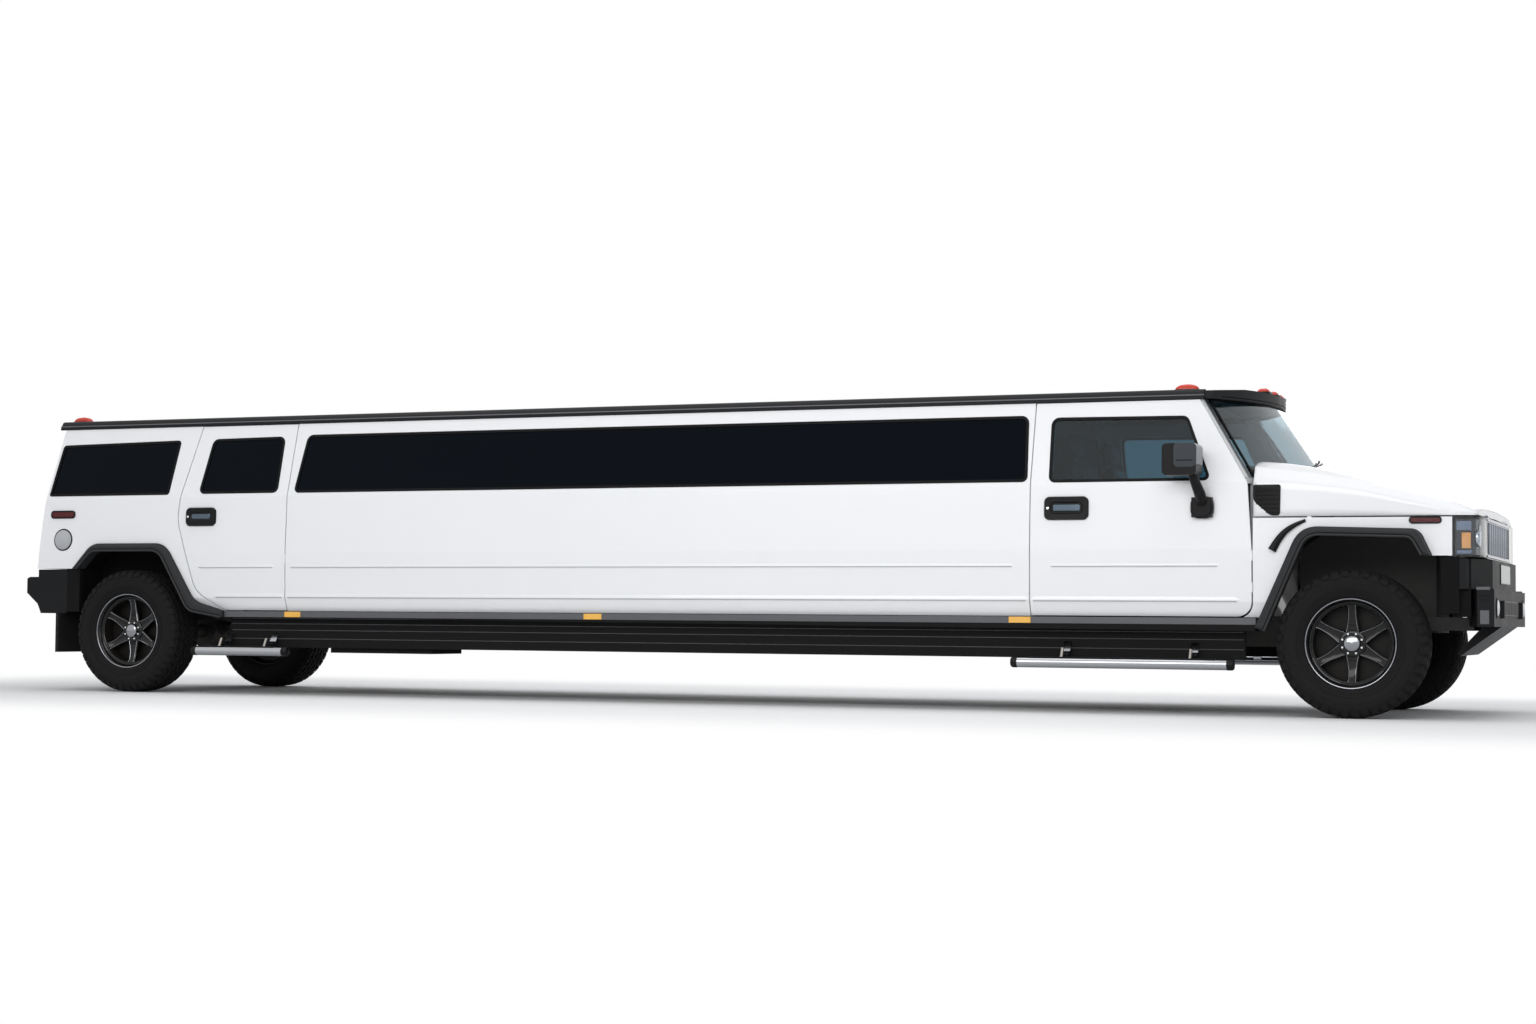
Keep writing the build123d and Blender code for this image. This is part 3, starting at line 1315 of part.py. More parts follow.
grille_lug = joined(
    rod(
        (HOOD_HINGE_X, grille_lug_y[0], HOOD_HINGE_Z),
        (HOOD_HINGE_X, grille_lug_y[1], HOOD_HINGE_Z),
        HOOD_HINGE_RADIUS,
    ),
    block(
        (HOOD_HINGE_X - HOOD_HINGE_RADIUS, HOOD_HINGE_X + HOOD_HINGE_RADIUS),
        grille_lug_y,
        (GRILLE_Z[1] - 2, HOOD_HINGE_Z),
    ),
)
save(joined(grille_frame, *grille_bars, grille_lug, mirrored(grille_lug)), "grille")

lamp_side_y = half_width(HOOD_SEAM_Z) - FENDER_TAPER
head_lamp = slab_z(
    [
        (FENDER_FRONT_X + SEAT_GAP, -lamp_side_y),
        (FASCIA_X - 50, -lamp_side_y + 8),
        (FASCIA_X - 14, -lamp_side_y + 30),
        (FASCIA_X, -lamp_side_y + 70),
        (FASCIA_X, -GRILLE_HALF - 6),
        (CARRIER_X[1] + SEAT_GAP, -GRILLE_HALF - 6),
        (CARRIER_X[1] + SEAT_GAP, -CARRIER_HALF - SEAT_GAP),
        (CARRIER_X[0] - 10, -CARRIER_HALF - SEAT_GAP),
        (FENDER_FRONT_X + SEAT_GAP, -lamp_side_y + 60),
    ],
    948,
    HOOD_SEAM_Z - 2,
)
save_both(head_lamp, "head_lamps")

tail_lamp_line = [
    (BODY_REAR_X + 35 * (z - 890) / 361, z) for z in (960, 1240)
]
tail_lamp = slab_y(
    [
        (tail_lamp_line[0][0] - 16, 960),
        (tail_lamp_line[1][0] - 16, 1240),
        (tail_lamp_line[1][0] - SEAT_GAP, 1240),
        (tail_lamp_line[0][0] - SEAT_GAP, 960),
    ],
    -905,
    -POST_Y - 30,
)
save_both(tail_lamp, "tail_lamps")

# Marker lamps: roof lamps, and one on each front and rear corner of the sides
ROOF_LAMP_TOP_Z = ROOF_CROWN_Z + 14
# Columns: middle x, middle y, length, width
ROOF_LAMPS = [
    (FRONT_AXLE_X - 1040, 690, 150, 70),
    (FRONT_AXLE_X - 1040, -690, 150, 70),
    (FRONT_AXLE_X - 665, 0, 70, 130),
    (FRONT_AXLE_X - 675, 230, 70, 130),
    (FRONT_AXLE_X - 675, -230, 70, 130),
    (ROOF_REAR_X + 100, 690, 150, 70),
    (ROOF_REAR_X + 100, -690, 150, 70),
]
roof_lamps = [
    cut(
        block(
            (x - length / 2, x + length / 2),
            (y - width / 2, y + width / 2),
            (ROOF_EDGE_Z - 5, ROOF_LAMP_TOP_Z),
        ),
        roof,
    )
    for x, y, length, width in ROOF_LAMPS
]
REAR_MARKER = [
    (BODY_REAR_X + 118, 1264, 18),
    (BODY_REAR_X + 318, 1264, 18),
    (BODY_REAR_X + 318, 1308, 18),
    (BODY_REAR_X + 118, 1308, 18),
]
rear_marker = common(
    wall_slice(BODY_REAR_X + 50, BODY_REAR_X + 400, -8, -SEAT_GAP, WAIST_Z, BELT_Z),
    table_cutter(REAR_MARKER),
)
save(joined(*roof_lamps, rear_marker, mirrored(rear_marker)), "marker_lamps")

# Tailgate, hinged at its top edge, with its glass
GATE_HALF = POST_Y - DOOR_GAP
GATE_T = 70
GATE_BOTTOM_Z = 900
gate_edge = [
    (BODY_REAR_X + 35 * (GATE_BOTTOM_Z - 890) / 361, GATE_BOTTOM_Z),
    REAR_EDGE[1],
    REAR_EDGE[2],
    (gate_top_x, GATE_TOP_Z),
]
gate_outline = gate_edge + [(x + GATE_T, z) for x, z in gate_edge[::-1]]
REAR_WINDOW_HALF = 590
rear_window_z = (1440, 1820)
gate_window = block(
    (BODY_REAR_X - 20, BODY_REAR_X + 400), (-REAR_WINDOW_HALF, REAR_WINDOW_HALF), rear_window_z
)
gate_lug = joined(
    rod(
        (gate_top_x, -LUG_Y[1], GATE_HINGE_Z),
        (gate_top_x, -LUG_Y[0], GATE_HINGE_Z),
        GATE_HINGE_RADIUS,
    ),
    block(
        (gate_top_x - GATE_HINGE_RADIUS, gate_top_x + GATE_HINGE_RADIUS),
        (-LUG_Y[1], -LUG_Y[0]),
        (GATE_TOP_Z - 8, GATE_HINGE_Z),
    ),
)
gate_panel = cut(slab_y(gate_outline, -GATE_HALF, GATE_HALF), gate_window)
save(joined(gate_panel, gate_lug, mirrored(gate_lug)), "tailgate")
glass_line = [
    (REAR_EDGE[2][0] + gate_slope * (z - REAR_EDGE[2][1]) + GLASS_DEPTH, z)
    for z in (rear_window_z[0] + SEAT_GAP, rear_window_z[1] - SEAT_GAP)
]
gate_glass = slab_y(
    glass_line + [(x + GLASS_T, z) for x, z in glass_line[::-1]],
    -REAR_WINDOW_HALF + SEAT_GAP,
    REAR_WINDOW_HALF - SEAT_GAP,
)
save(gate_glass, "tailgate_glass")

# Inside: dash with its column, steering wheel, front seats, partition and cabin seats
DASH_HALF = 850
dashboard = slab_y(
    [
        (BULKHEAD_X, COWL_Z - 5),
        (BULKHEAD_X - 300, COWL_Z - 15),
        (BULKHEAD_X - 390, 1300),
        (BULKHEAD_X - 330, 1060),
        (BULKHEAD_X, 1000),
    ],
    -DASH_HALF,
    DASH_HALF,
)
WHEEL_TILT = 28
WHEEL_CENTRE = (BULKHEAD_X - 560, 390, 1290)
WHEEL_RING = 190
column_axis = (cos(radians(WHEEL_TILT)), 0, -sin(radians(WHEEL_TILT)))
column_start = tuple(c + 26.3 * a for c, a in zip(WHEEL_CENTRE, column_axis))
column_end = tuple(c + 330 * a for c, a in zip(WHEEL_CENTRE, column_axis))
save(joined(dashboard, rod(column_start, column_end, 32)), "dashboard")
with BuildPart(Plane(origin=WHEEL_CENTRE, x_dir=(0, 1, 0), z_dir=column_axis)) as steering_wheel:
    Torus(WHEEL_RING, 15)
    Cylinder(48, 52)
    with PolarLocations(0, 3, start_angle=90):
        Box(WHEEL_RING, 34, 16, align=(Align.MIN, Align.CENTER, Align.CENTER))
save(steering_wheel.part, "steering_wheel")

SEAT_X = FRONT_DOOR_REAR_X + 250
SEAT_HALF = 260
seat_profile = [
    (SEAT_X + 30, FLOOR_Z + FLOOR_T),
    (SEAT_X + 480, FLOOR_Z + FLOOR_T),
    (SEAT_X + 560, 1040),
    (SEAT_X + 520, 1085),
    (SEAT_X + 120, 1050),
    (SEAT_X - 60, 1560),
    (SEAT_X - 60, 1740),
    (SEAT_X - 150, 1740),
    (SEAT_X - 170, 1540),
    (SEAT_X - 20, 1000),
]
front_seat = slab_y(seat_profile, -420 - SEAT_HALF, -420 + SEAT_HALF)
save_both(front_seat, "front_seats")

PARTITION_X = FRONT_DOOR_REAR_X - 60
partition_ring = [
    (half_width(z) - WALL_T - 3, z) for z in (FLOOR_Z + FLOOR_T, CREASE_Z, WAIST_Z, BELT_Z, lip_z - 2)
]
partition = slab_x(
    [(-y, z) for y, z in partition_ring] + [(y, z) for y, z in partition_ring[::-1]],
    PARTITION_X - 30,
    PARTITION_X,
)
partition_window = block((PARTITION_X - 40, PARTITION_X + 10), (-450, 450), (1350, 1750))
save(cut(partition, partition_window), "partition")

BENCH_BACK_Y = half_width(FLOOR_Z + FLOOR_T) - WALL_T - 10
bench_section = [
    (BENCH_BACK_Y, FLOOR_Z + FLOOR_T),
    (BENCH_BACK_Y, 1420),
    (BENCH_BACK_Y - 110, 1440),
    (BENCH_BACK_Y - 150, 1080),
    (BENCH_BACK_Y - 560, 1060),
    (BENCH_BACK_Y - 580, FLOOR_Z + FLOOR_T),
]
side_bench = slab_x(bench_section, REAR_DOOR_FRONT_X + 60, PARTITION_X - 400)
rear_bench = slab_y(
    [
        (REAR_AXLE_X + 300, FLOOR_Z + FLOOR_T),
        (REAR_AXLE_X + 330, 1080),
        (REAR_AXLE_X - 120, 1060),
        (REAR_AXLE_X - 260, 1500),
        (REAR_AXLE_X - 380, 1500),
        (REAR_AXLE_X - 260, FLOOR_Z + FLOOR_T),
    ],
    -REAR_LINER_INNER_Y + 5,
    REAR_LINER_INNER_Y - 5,
)
save(joined(side_bench, rear_bench), "cabin_seats")
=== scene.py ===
import math
import bpy
import bmesh
from mathutils import Matrix, Vector


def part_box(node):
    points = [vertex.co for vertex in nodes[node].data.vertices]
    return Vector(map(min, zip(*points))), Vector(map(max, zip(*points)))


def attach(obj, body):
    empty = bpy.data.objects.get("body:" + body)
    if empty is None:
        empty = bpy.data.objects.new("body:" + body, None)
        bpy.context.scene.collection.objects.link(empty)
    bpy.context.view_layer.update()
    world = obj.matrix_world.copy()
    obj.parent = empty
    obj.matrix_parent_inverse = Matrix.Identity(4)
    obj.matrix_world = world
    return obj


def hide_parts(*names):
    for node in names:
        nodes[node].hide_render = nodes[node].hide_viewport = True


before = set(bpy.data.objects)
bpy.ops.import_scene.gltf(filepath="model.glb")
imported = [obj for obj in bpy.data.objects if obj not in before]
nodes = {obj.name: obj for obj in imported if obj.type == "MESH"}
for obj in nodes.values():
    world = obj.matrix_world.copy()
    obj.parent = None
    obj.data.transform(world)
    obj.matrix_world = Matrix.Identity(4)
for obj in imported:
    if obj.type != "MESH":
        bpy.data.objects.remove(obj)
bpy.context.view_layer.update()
scene = bpy.context.scene

# Stations in metres: +X forward, +Y left, +Z up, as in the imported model
FRONT_AXLE = 4.4075
REAR_AXLE = -4.2995
AXLE_Z = 0.440
BODY_REAR = REAR_AXLE - 0.830
REAR_END = BODY_REAR - 0.103
DOOR_FRONT = FRONT_AXLE - 0.582
DOOR_REAR = FRONT_AXLE - 1.960
REAR_DOOR_FRONT = REAR_AXLE + 1.317
SEAM_HALF = 0.004
FLOOR_TOP = 0.641
SIDE_PROFILE = [(0.591, 0.948), (0.682, 0.984), (1.000, 0.990), (1.400, 0.975), (1.925, 0.838)]
FRONT_TAPER = 0.057
TAPER_END = FRONT_AXLE + 0.571
# Bodies of a right and left pair: the braces take the side
FRONT_DOOR, REAR_DOOR = "front_door_{}_body", "rear_door_{}_body"


def along_rows(rows, at):
    """Value at a place along rows of (place, value), straight between rows."""
    for (low, value), (high, following) in zip(rows, rows[1:]):
        if at <= high:
            return value + (following - value) * (at - low) / (high - low)
    return rows[-1][1]


def half_width(height):
    """Half width of the body side at a height."""
    return along_rows(SIDE_PROFILE, height)


def taper(x):
    """How far the front of the body is drawn in ahead of the door."""
    return max(0.0, FRONT_TAPER * (x - DOOR_FRONT) / (TAPER_END - DOOR_FRONT))


def side_point(x, z, proud=0.0):
    """Point on the right side of the body, and the side's outward direction there."""
    step = 0.004
    slope = (half_width(z + step) - half_width(z - step)) / (2 * step)
    out = Vector((0.0, -1.0, -slope)).normalized()
    base = Vector((x, -half_width(z) + taper(x), z))
    return base + out * proud, out


def circle(count):
    """Cosine and sine at even steps round a circle."""
    return [(math.cos(t), math.sin(t)) for t in (2 * math.pi * i / count for i in range(count))]


def swell(value, power):
    """A cosine or sine raised to a power with its sign kept, which squares a circle up."""
    return math.copysign(abs(value) ** power, value)


# Materials: each is a Principled shader with grain, bump and colour variation at real scale
def node(tree, kind, sockets=(), **settings):
    """A shader node; sockets gives an input its value or the output that feeds it."""
    made = tree.nodes.new("ShaderNode" + kind)
    for key, value in settings.items():
        setattr(made, key, value)
    for key, value in dict(sockets).items():
        if isinstance(value, bpy.types.NodeSocket):
            tree.links.new(value, made.inputs[key])
        else:
            made.inputs[key].default_value = value
    return made


def tinted(color, factor):
    """A colour scaled and kept in range."""
    return [max(0.0, min(1.0, c * factor)) for c in color[:3]] + [1.0]


DUST = (0.32, 0.28, 0.23)


def material(name, color, rough=0.5, metal=0.0, coat=0.0, coat_rough=0.03, grain=0.0, grain_size=0.0012,
             cells=False, vary=0.06, vary_size=0.25, rough_vary=0.08, glass=0.0, ior=1.5, dirt=None,
             specular=0.5, sheen=0.0):
    """A procedural material in object coordinates, in metres; dirt is (height reached, amount)."""
    mat = bpy.data.materials.new(name)
    mat.use_nodes = True
    tree = mat.node_tree
    tree.nodes.clear()
    place = node(tree, "TexCoord").outputs["Object"]
    broad = node(tree, "TexNoise", {"Scale": 1.0 / vary_size, "Detail": 6.0, "Vector": place}).outputs["Fac"]
    tint = node(tree, "Mix", {"A": tinted(color, 1.0 - vary), "B": tinted(color, 1.0 + vary),
                              "Factor": broad}, data_type="RGBA").outputs["Result"]
    if dirt:
        height, amount = dirt
        split = node(tree, "SeparateXYZ", {0: place})
        fall = node(tree, "MapRange", {"From Min": height, "From Max": 0.0, "To Max": amount,
                                       "Value": split.outputs["Z"]})
        speckle = node(tree, "TexNoise", {"Scale": 28.0, "Detail": 8.0, "Vector": place})
        both = node(tree, "Math", {0: fall.outputs[0], 1: speckle.outputs["Fac"]}, operation="MULTIPLY")
        tint = node(tree, "Mix", {"A": tint, "B": list(DUST) + [1.0], "Factor": both.outputs[0]},
                    data_type="RGBA").outputs["Result"]
    worn = node(tree, "MapRange", {"To Min": max(0.0, rough - rough_vary),
                                   "To Max": min(1.0, rough + rough_vary), "Value": broad})
    sockets = {"Base Color": tint, "Roughness": worn.outputs[0], "Metallic": metal, "IOR": ior,
               "Specular IOR Level": specular, "Coat Weight": coat, "Coat Roughness": coat_rough,
               "Transmission Weight": glass}
    if sheen:
        sockets.update({"Sheen Weight": sheen, "Sheen Roughness": 0.5})
    if grain:
        fine = node(tree, "TexVoronoi" if cells else "TexNoise", {"Scale": 1.0 / grain_size, "Vector": place})
        bump = node(tree, "Bump", {"Strength": min(1.0, grain), "Distance": grain_size * 0.3,
                                   "Height": fine.outputs["Distance" if cells else "Fac"]})
        sockets["Normal"] = bump.outputs[0]
        if coat:
            sockets["Coat Normal"] = bump.outputs[0]
    shader = node(tree, "BsdfPrincipled", sockets)
    node(tree, "OutputMaterial", {0: shader.outputs[0]})
    return mat


POLISHED = dict(metal=1.0, grain=0.02, grain_size=0.002, rough_vary=0.04)
GLASS = dict(specular=0.3, rough=0.02, glass=1.0, ior=1.45, rough_vary=0.01)
LENS = dict(grain_size=0.006, cells=True)
MOULDED = dict(grain_size=0.0014, cells=True)
SATIN = dict(grain=0.25, grain_size=0.0008, vary=0.2)

paint = material("white_paint", (0.86, 0.865, 0.875), rough=0.34, coat=0.6, coat_rough=0.04, grain=0.02,
                 grain_size=0.004, vary=0.012, rough_vary=0.03, dirt=(0.75, 0.05))
roof_black = material("roof_black", (0.009, 0.0095, 0.011), rough=0.45, specular=0.14, grain=0.12,
                      grain_size=0.002, vary=0.06, rough_vary=0.015)
frame_black = material("frame_black", (0.012, 0.012, 0.013), rough=0.6, grain=0.3, grain_size=0.003,
                       vary=0.3, dirt=(0.7, 0.3))
iron = material("cast_iron", (0.06, 0.058, 0.056), rough=0.62, metal=0.6, grain=0.5, grain_size=0.003,
                vary=0.35, dirt=(0.6, 0.35))
flare_dark = material("flare_plastic", (0.030, 0.032, 0.034), rough=0.55, specular=0.12, grain=0.55,
                      vary=0.12, **MOULDED)
flare_black = material("flare_black", (0.006, 0.006, 0.007), rough=0.6, grain=0.4, vary=0.12, **MOULDED)
bumper_black = material("bumper_plastic", (0.0065, 0.007, 0.008), rough=0.46, specular=0.14, grain=0.5,
                        grain_size=0.0016, cells=True, vary=0.14, dirt=(0.8, 0.012))
skirt_black = material("skirt_black", (0.004, 0.004, 0.0045), rough=0.7, specular=0.15, grain=0.3,
                       grain_size=0.003, vary=0.3, dirt=(0.5, 0.01))
strip_grey = material("strip_grey", (0.085, 0.088, 0.094), rough=0.42, grain=0.3, vary=0.08, **MOULDED)
seal = material("window_seal", (0.004, 0.004, 0.0045), rough=0.55, specular=0.12, **SATIN)
# Grey for the ridges on the black skirt, which paints their highlight
ridge_highlight_grey = material("painted_ridge_highlight", (0.10, 0.10, 0.105), rough=0.6, **SATIN)
liner = material("liner_plastic", (0.0045, 0.0045, 0.005), rough=0.8, specular=0.12, grain=0.6,
                 grain_size=0.006, vary=0.35, dirt=(1.0, 0.02))
rubber = material("flap_rubber", (0.008, 0.008, 0.009), rough=0.7, specular=0.2, grain=0.35,
                  grain_size=0.002, vary=0.25, dirt=(0.6, 0.05))
tread = material("tyre_rubber", (0.0075, 0.0075, 0.008), rough=0.70, specular=0.12, grain=0.45,
                 grain_size=0.0016, vary=0.3, vary_size=0.06, dirt=(0.9, 0.025))
gloss_black = material("gloss_black", (0.003, 0.003, 0.0035), rough=0.12, coat=0.3, specular=0.16,
                       coat_rough=0.02, grain=0.02, grain_size=0.003, vary=0.2)
trim_black = material("trim_black", (0.0055, 0.0055, 0.0062), rough=0.36, specular=0.16, grain=0.35,
                      grain_size=0.0012, cells=True, vary=0.15)
chrome = material("chrome", (0.78, 0.79, 0.80), rough=0.08, vary=0.04, **POLISHED)
lip_bright = material("wheel_bright", (0.30, 0.31, 0.33), rough=0.10, metal=1.0, grain=0.02,
                      grain_size=0.001, vary=0.06, rough_vary=0.04)
grille_chrome = material("grille_chrome", (0.22, 0.24, 0.28), rough=0.10, vary=0.05, **POLISHED)
step_chrome = material("step_chrome", (0.42, 0.43, 0.45), rough=0.14, metal=1.0, grain=0.03,
                       grain_size=0.002, vary=0.05, rough_vary=0.04)
# Grey strip that paints the shadow under the pressed lines' ridges
line_shadow_grey = material("painted_line_shadow", (0.42, 0.42, 0.43), rough=0.4, grain=0.02, grain_size=0.004, vary=0.03)
dark_chrome = material("dark_chrome", (0.060, 0.066, 0.075), rough=0.10, vary=0.05, **POLISHED)
machined = material("machined_alloy", (0.62, 0.63, 0.65), rough=0.18, metal=1.0, grain=0.06,
                    grain_size=0.0008, vary=0.08, rough_vary=0.06)
wheel_black = material("wheel_black", (0.004, 0.004, 0.0045), rough=0.16, coat=0.35, specular=0.16,
                       grain=0.03, grain_size=0.002, vary=0.25, dirt=(0.8, 0.01))
alloy_dark = material("alloy_inside", (0.010, 0.009, 0.008), rough=0.45, specular=0.14, grain=0.1,
                      grain_size=0.002, vary=0.3)
steel = material("exhaust_steel", (0.36, 0.34, 0.31), rough=0.35, metal=1.0, grain=0.2, grain_size=0.004,
                 vary=0.25)
privacy = material("privacy_glass", (0.0004, 0.0020, 0.0048), rough=0.05, grain=0.01, grain_size=0.02,
                   vary=0.1, rough_vary=0.02, specular=0.06)
paddle = material("handle_paddle", (0.09, 0.12, 0.15), rough=0.14, metal=1.0, grain=0.02,
                  grain_size=0.002, vary=0.1)
cab_glass = material("cab_glass", (0.15, 0.27, 0.33), grain=0.01, grain_size=0.03, vary=0.03, **GLASS)
screen_glass = material("screen_glass", (0.50, 0.60, 0.65), grain=0.01, grain_size=0.03, vary=0.03, **GLASS)
lamp_glass = material("lamp_glass", (0.93, 0.95, 0.97), grain=0.03, grain_size=0.02, vary=0.02, **GLASS)
reflector = material("lamp_reflector", (0.16, 0.20, 0.28), rough=0.12, metal=1.0, grain=0.2,
                     grain_size=0.012, vary=0.1)
lamp_dark = material("lamp_housing", (0.010, 0.016, 0.026), rough=0.18, metal=0.4, coat=0.3, grain=0.03,
                     grain_size=0.004, vary=0.3, specular=0.4)
pillar_blue = material("pillar_trim", (0.060, 0.078, 0.095), rough=0.35, metal=0.5, grain=0.05,
                       grain_size=0.002, vary=0.1)
bowl_bright = material("lamp_bowl", (0.50, 0.54, 0.60), rough=0.10, metal=1.0, grain=0.05,
                       grain_size=0.006, vary=0.06)
amber = material("amber_lens", (0.85, 0.34, 0.03), rough=0.16, coat=0.8, grain=0.5, vary=0.12, **LENS)
reflex = material("amber_reflector", (0.86, 0.45, 0.05), rough=0.25, coat=0.6, grain=0.6,
                  grain_size=0.005, cells=True, vary=0.1)
red_lens = material("red_lens", (0.62, 0.035, 0.012), rough=0.2, coat=0.25, specular=0.3, grain=0.4,
                    vary=0.14, **LENS)
dark_red = material("dark_red_lens", (0.085, 0.008, 0.010), rough=0.2, coat=0.15, specular=0.2, grain=0.5,
                    vary=0.3, **LENS)
white_lens = material("white_lens", (0.75, 0.76, 0.78), rough=0.14, coat=0.8, grain=0.5, vary=0.06, **LENS)
mirror_glass = material("mirror_glass", (0.75, 0.77, 0.80), rough=0.02, metal=1.0, grain=0.005,
                        grain_size=0.03, vary=0.02, rough_vary=0.01)
dash = material("dash_plastic", (0.060, 0.060, 0.065), rough=0.6, grain=0.55, vary=0.1, **MOULDED)
lining = material("cabin_lining", (0.20, 0.19, 0.18), rough=0.85, grain=0.5, grain_size=0.002, vary=0.12,
                  sheen=0.2)
carpet = material("floor_carpet", (0.018, 0.018, 0.020), rough=0.95, grain=0.9, grain_size=0.003,
                  vary=0.25, sheen=0.3, specular=0.1)
leather = material("seat_leather", (0.075, 0.070, 0.068), rough=0.42, grain=0.6, grain_size=0.0022,
                   cells=True, vary=0.14, vary_size=0.12)
plate = material("blank_plate", (0.72, 0.72, 0.70), rough=0.4, grain=0.1, grain_size=0.002, vary=0.04)
cap_grey = material("fuel_cap_grey", (0.42, 0.43, 0.45), rough=0.3, metal=0.5, coat=0.4, grain=0.05,
                    grain_size=0.002, vary=0.05)

NODE_LOOKS = {
    paint: "centre_panels fenders front_body_frame front_door_left front_door_right hood quarter_panels "
           "rear_door_left rear_door_right tailgate",
    roof_black: "roof",
    frame_black: "floor_pan frame_rails radiator_carrier",
    iron: "driveline engine front_suspension rear_axle knuckle_left knuckle_right",
    liner: "arch_liners fuel_tank",
    flare_dark: "flares",
    bumper_black: "front_bumper rear_bumper",
    rubber: "mud_flaps",
    privacy: "side_glass rear_door_glass_left rear_door_glass_right tailgate_glass",
    cab_glass: "front_door_glass_left front_door_glass_right",
    screen_glass: "windshield",
    grille_chrome: "grille",
    step_chrome: "step_bars",
    lamp_glass: "head_lamps",
    red_lens: "marker_lamps tail_lamps",
    trim_black: "hood_vents mirror_left mirror_right steering_wheel",
    skirt_black: "rockers",
    steel: "exhaust",
    dash: "dashboard",
    lining: "partition",
    leather: "cabin_seats front_seats",
    tread: "tyre_front_left tyre_front_right tyre_rear_left tyre_rear_right",
    wheel_black: "rim_front_left rim_front_right rim_rear_left rim_rear_right",
}
for look, names in NODE_LOOKS.items():
    for name in names.split():
        for row in nodes[name].material_slots:
            row.material = look

# Camera fitted to the photograph
CAMERA_AT = Vector((6.7545, -15.606, 0.543))
YAW, PITCH, ROLL = math.radians(22.52), math.radians(2.56), math.radians(0.45)
SENSOR, PHOTO_FOCUS, PHOTO_WIDTH = 36.0, 2449.3, 1536.0
look_dir = Vector((-math.sin(YAW) * math.cos(PITCH), math.cos(YAW) * math.cos(PITCH), math.sin(PITCH)))
right_dir = Vector((math.cos(YAW), math.sin(YAW), 0.0))
up_dir = right_dir.cross(look_dir)
right_rolled = right_dir * math.cos(ROLL) + up_dir * math.sin(ROLL)
up_rolled = up_dir * math.cos(ROLL) - right_dir * math.sin(ROLL)
camera_data = bpy.data.cameras.new("camera")
camera_data.sensor_width = SENSOR
camera_data.lens = SENSOR * PHOTO_FOCUS / PHOTO_WIDTH
camera_data.clip_end = 300.0
camera = bpy.data.objects.new("camera", camera_data)
axes = Matrix((right_rolled, up_rolled, -look_dir)).transposed()
camera.matrix_world = Matrix.Translation(CAMERA_AT) @ axes.to_4x4()
scene.collection.objects.link(camera)
scene.camera = camera


# Soft studio: a pale world, wide soft lamps and a pale floor that keeps the shadow
def direct_rays(tree, *kinds):
    """1 on rays of the named kinds, and 0 on others."""
    rays = node(tree, "LightPath")
    found = rays.outputs[f"Is {kinds[0]} Ray"]
    for kind in kinds[1:]:
        either = node(tree, "Math", {0: found, 1: rays.outputs[f"Is {kind} Ray"]}, operation="MAXIMUM")
        found = either.outputs[0]
    return found


def soft_lamp(name, at, aim, size, power):
    """A wide rectangular lamp."""
    data = bpy.data.lights.new(name, "AREA")
    data.shape = "RECTANGLE"
    data.size, data.size_y = size
    data.energy = power
    lamp = bpy.data.objects.new(name, data)
    lamp.location = at
    lamp.rotation_euler = (Vector(aim) - Vector(at)).to_track_quat("-Z", "Y").to_euler()
    scene.collection.objects.link(lamp)


scene.view_settings.view_transform = "Standard"
world = bpy.data.worlds.new("studio")
scene.world = world
world.use_nodes = True
tree = world.node_tree
tree.nodes.clear()
room = node(tree, "Background", {"Color": (0.92, 0.95, 1.0, 1.0), "Strength": 0.42})
seen = node(tree, "Background", {"Color": (1.0, 1.0, 1.0, 1.0), "Strength": 1.0})
pick = node(tree, "MixShader", {0: direct_rays(tree, "Camera", "Transmission", "Glossy"),
                                1: room.outputs[0], 2: seen.outputs[0]})
node(tree, "OutputWorld", {0: pick.outputs[0]})

soft_lamp("overhead", (0.0, 0.0, 9.0), (0, 0, 0), (16.0, 8.0), 400.0)
soft_lamp("right_side", (2.0, -12.0, 5.5), (0, 0, 1.0), (16.0, 5.0), 730.0)
soft_lamp("left_side", (-2.0, 12.0, 5.5), (0, 0, 1.0), (16.0, 5.0), 420.0)
soft_lamp("front_end", (14.0, -2.0, 4.5), (4, 0, 1.0), (6.0, 4.0), 70.0)

# The floor fades to plain white away from the vehicle and its shadow
FLOOR_SIZE = 60.0
FADES = (("X", 6.0, 8.5), ("Y", 2.2, 4.6))
floor_mesh = bpy.data.meshes.new("floor")
floor_mesh.from_pydata([(x * FLOOR_SIZE, y * FLOOR_SIZE, 0) for x, y in ((-1, -1), (1, -1), (1, 1), (-1, 1))],
                       [], [(0, 1, 2, 3)])
floor = bpy.data.objects.new("floor", floor_mesh)
scene.collection.objects.link(floor)
floor_mat = bpy.data.materials.new("floor_white")
floor_mat.use_nodes = True
tree = floor_mat.node_tree
tree.nodes.clear()
split = node(tree, "SeparateXYZ", {0: node(tree, "TexCoord").outputs["Object"]})
fades = []
for part, near, far in FADES:
    size = node(tree, "Math", {0: split.outputs[part]}, operation="ABSOLUTE")
    fades.append(node(tree, "MapRange", {"From Min": near, "From Max": far, "Value": size.outputs[0]},
                      interpolation_type="SMOOTHSTEP").outputs[0])
farther = node(tree, "Math", {0: fades[0], 1: fades[1]}, operation="MAXIMUM")
share = node(tree, "Math", {0: farther.outputs[0], 1: direct_rays(tree, "Camera", "Transmission")},
             operation="MULTIPLY")
pale = node(tree, "BsdfPrincipled", {"Base Color": (0.90, 0.90, 0.90, 1.0), "Roughness": 0.9,
                                     "Specular IOR Level": 0.1})
floor_mix = node(tree, "MixShader", {0: share.outputs[0], 1: pale.outputs[0],
                                     2: node(tree, "Emission").outputs[0]})
node(tree, "OutputMaterial", {0: floor_mix.outputs[0]})
floor_mesh.materials.append(floor_mat)


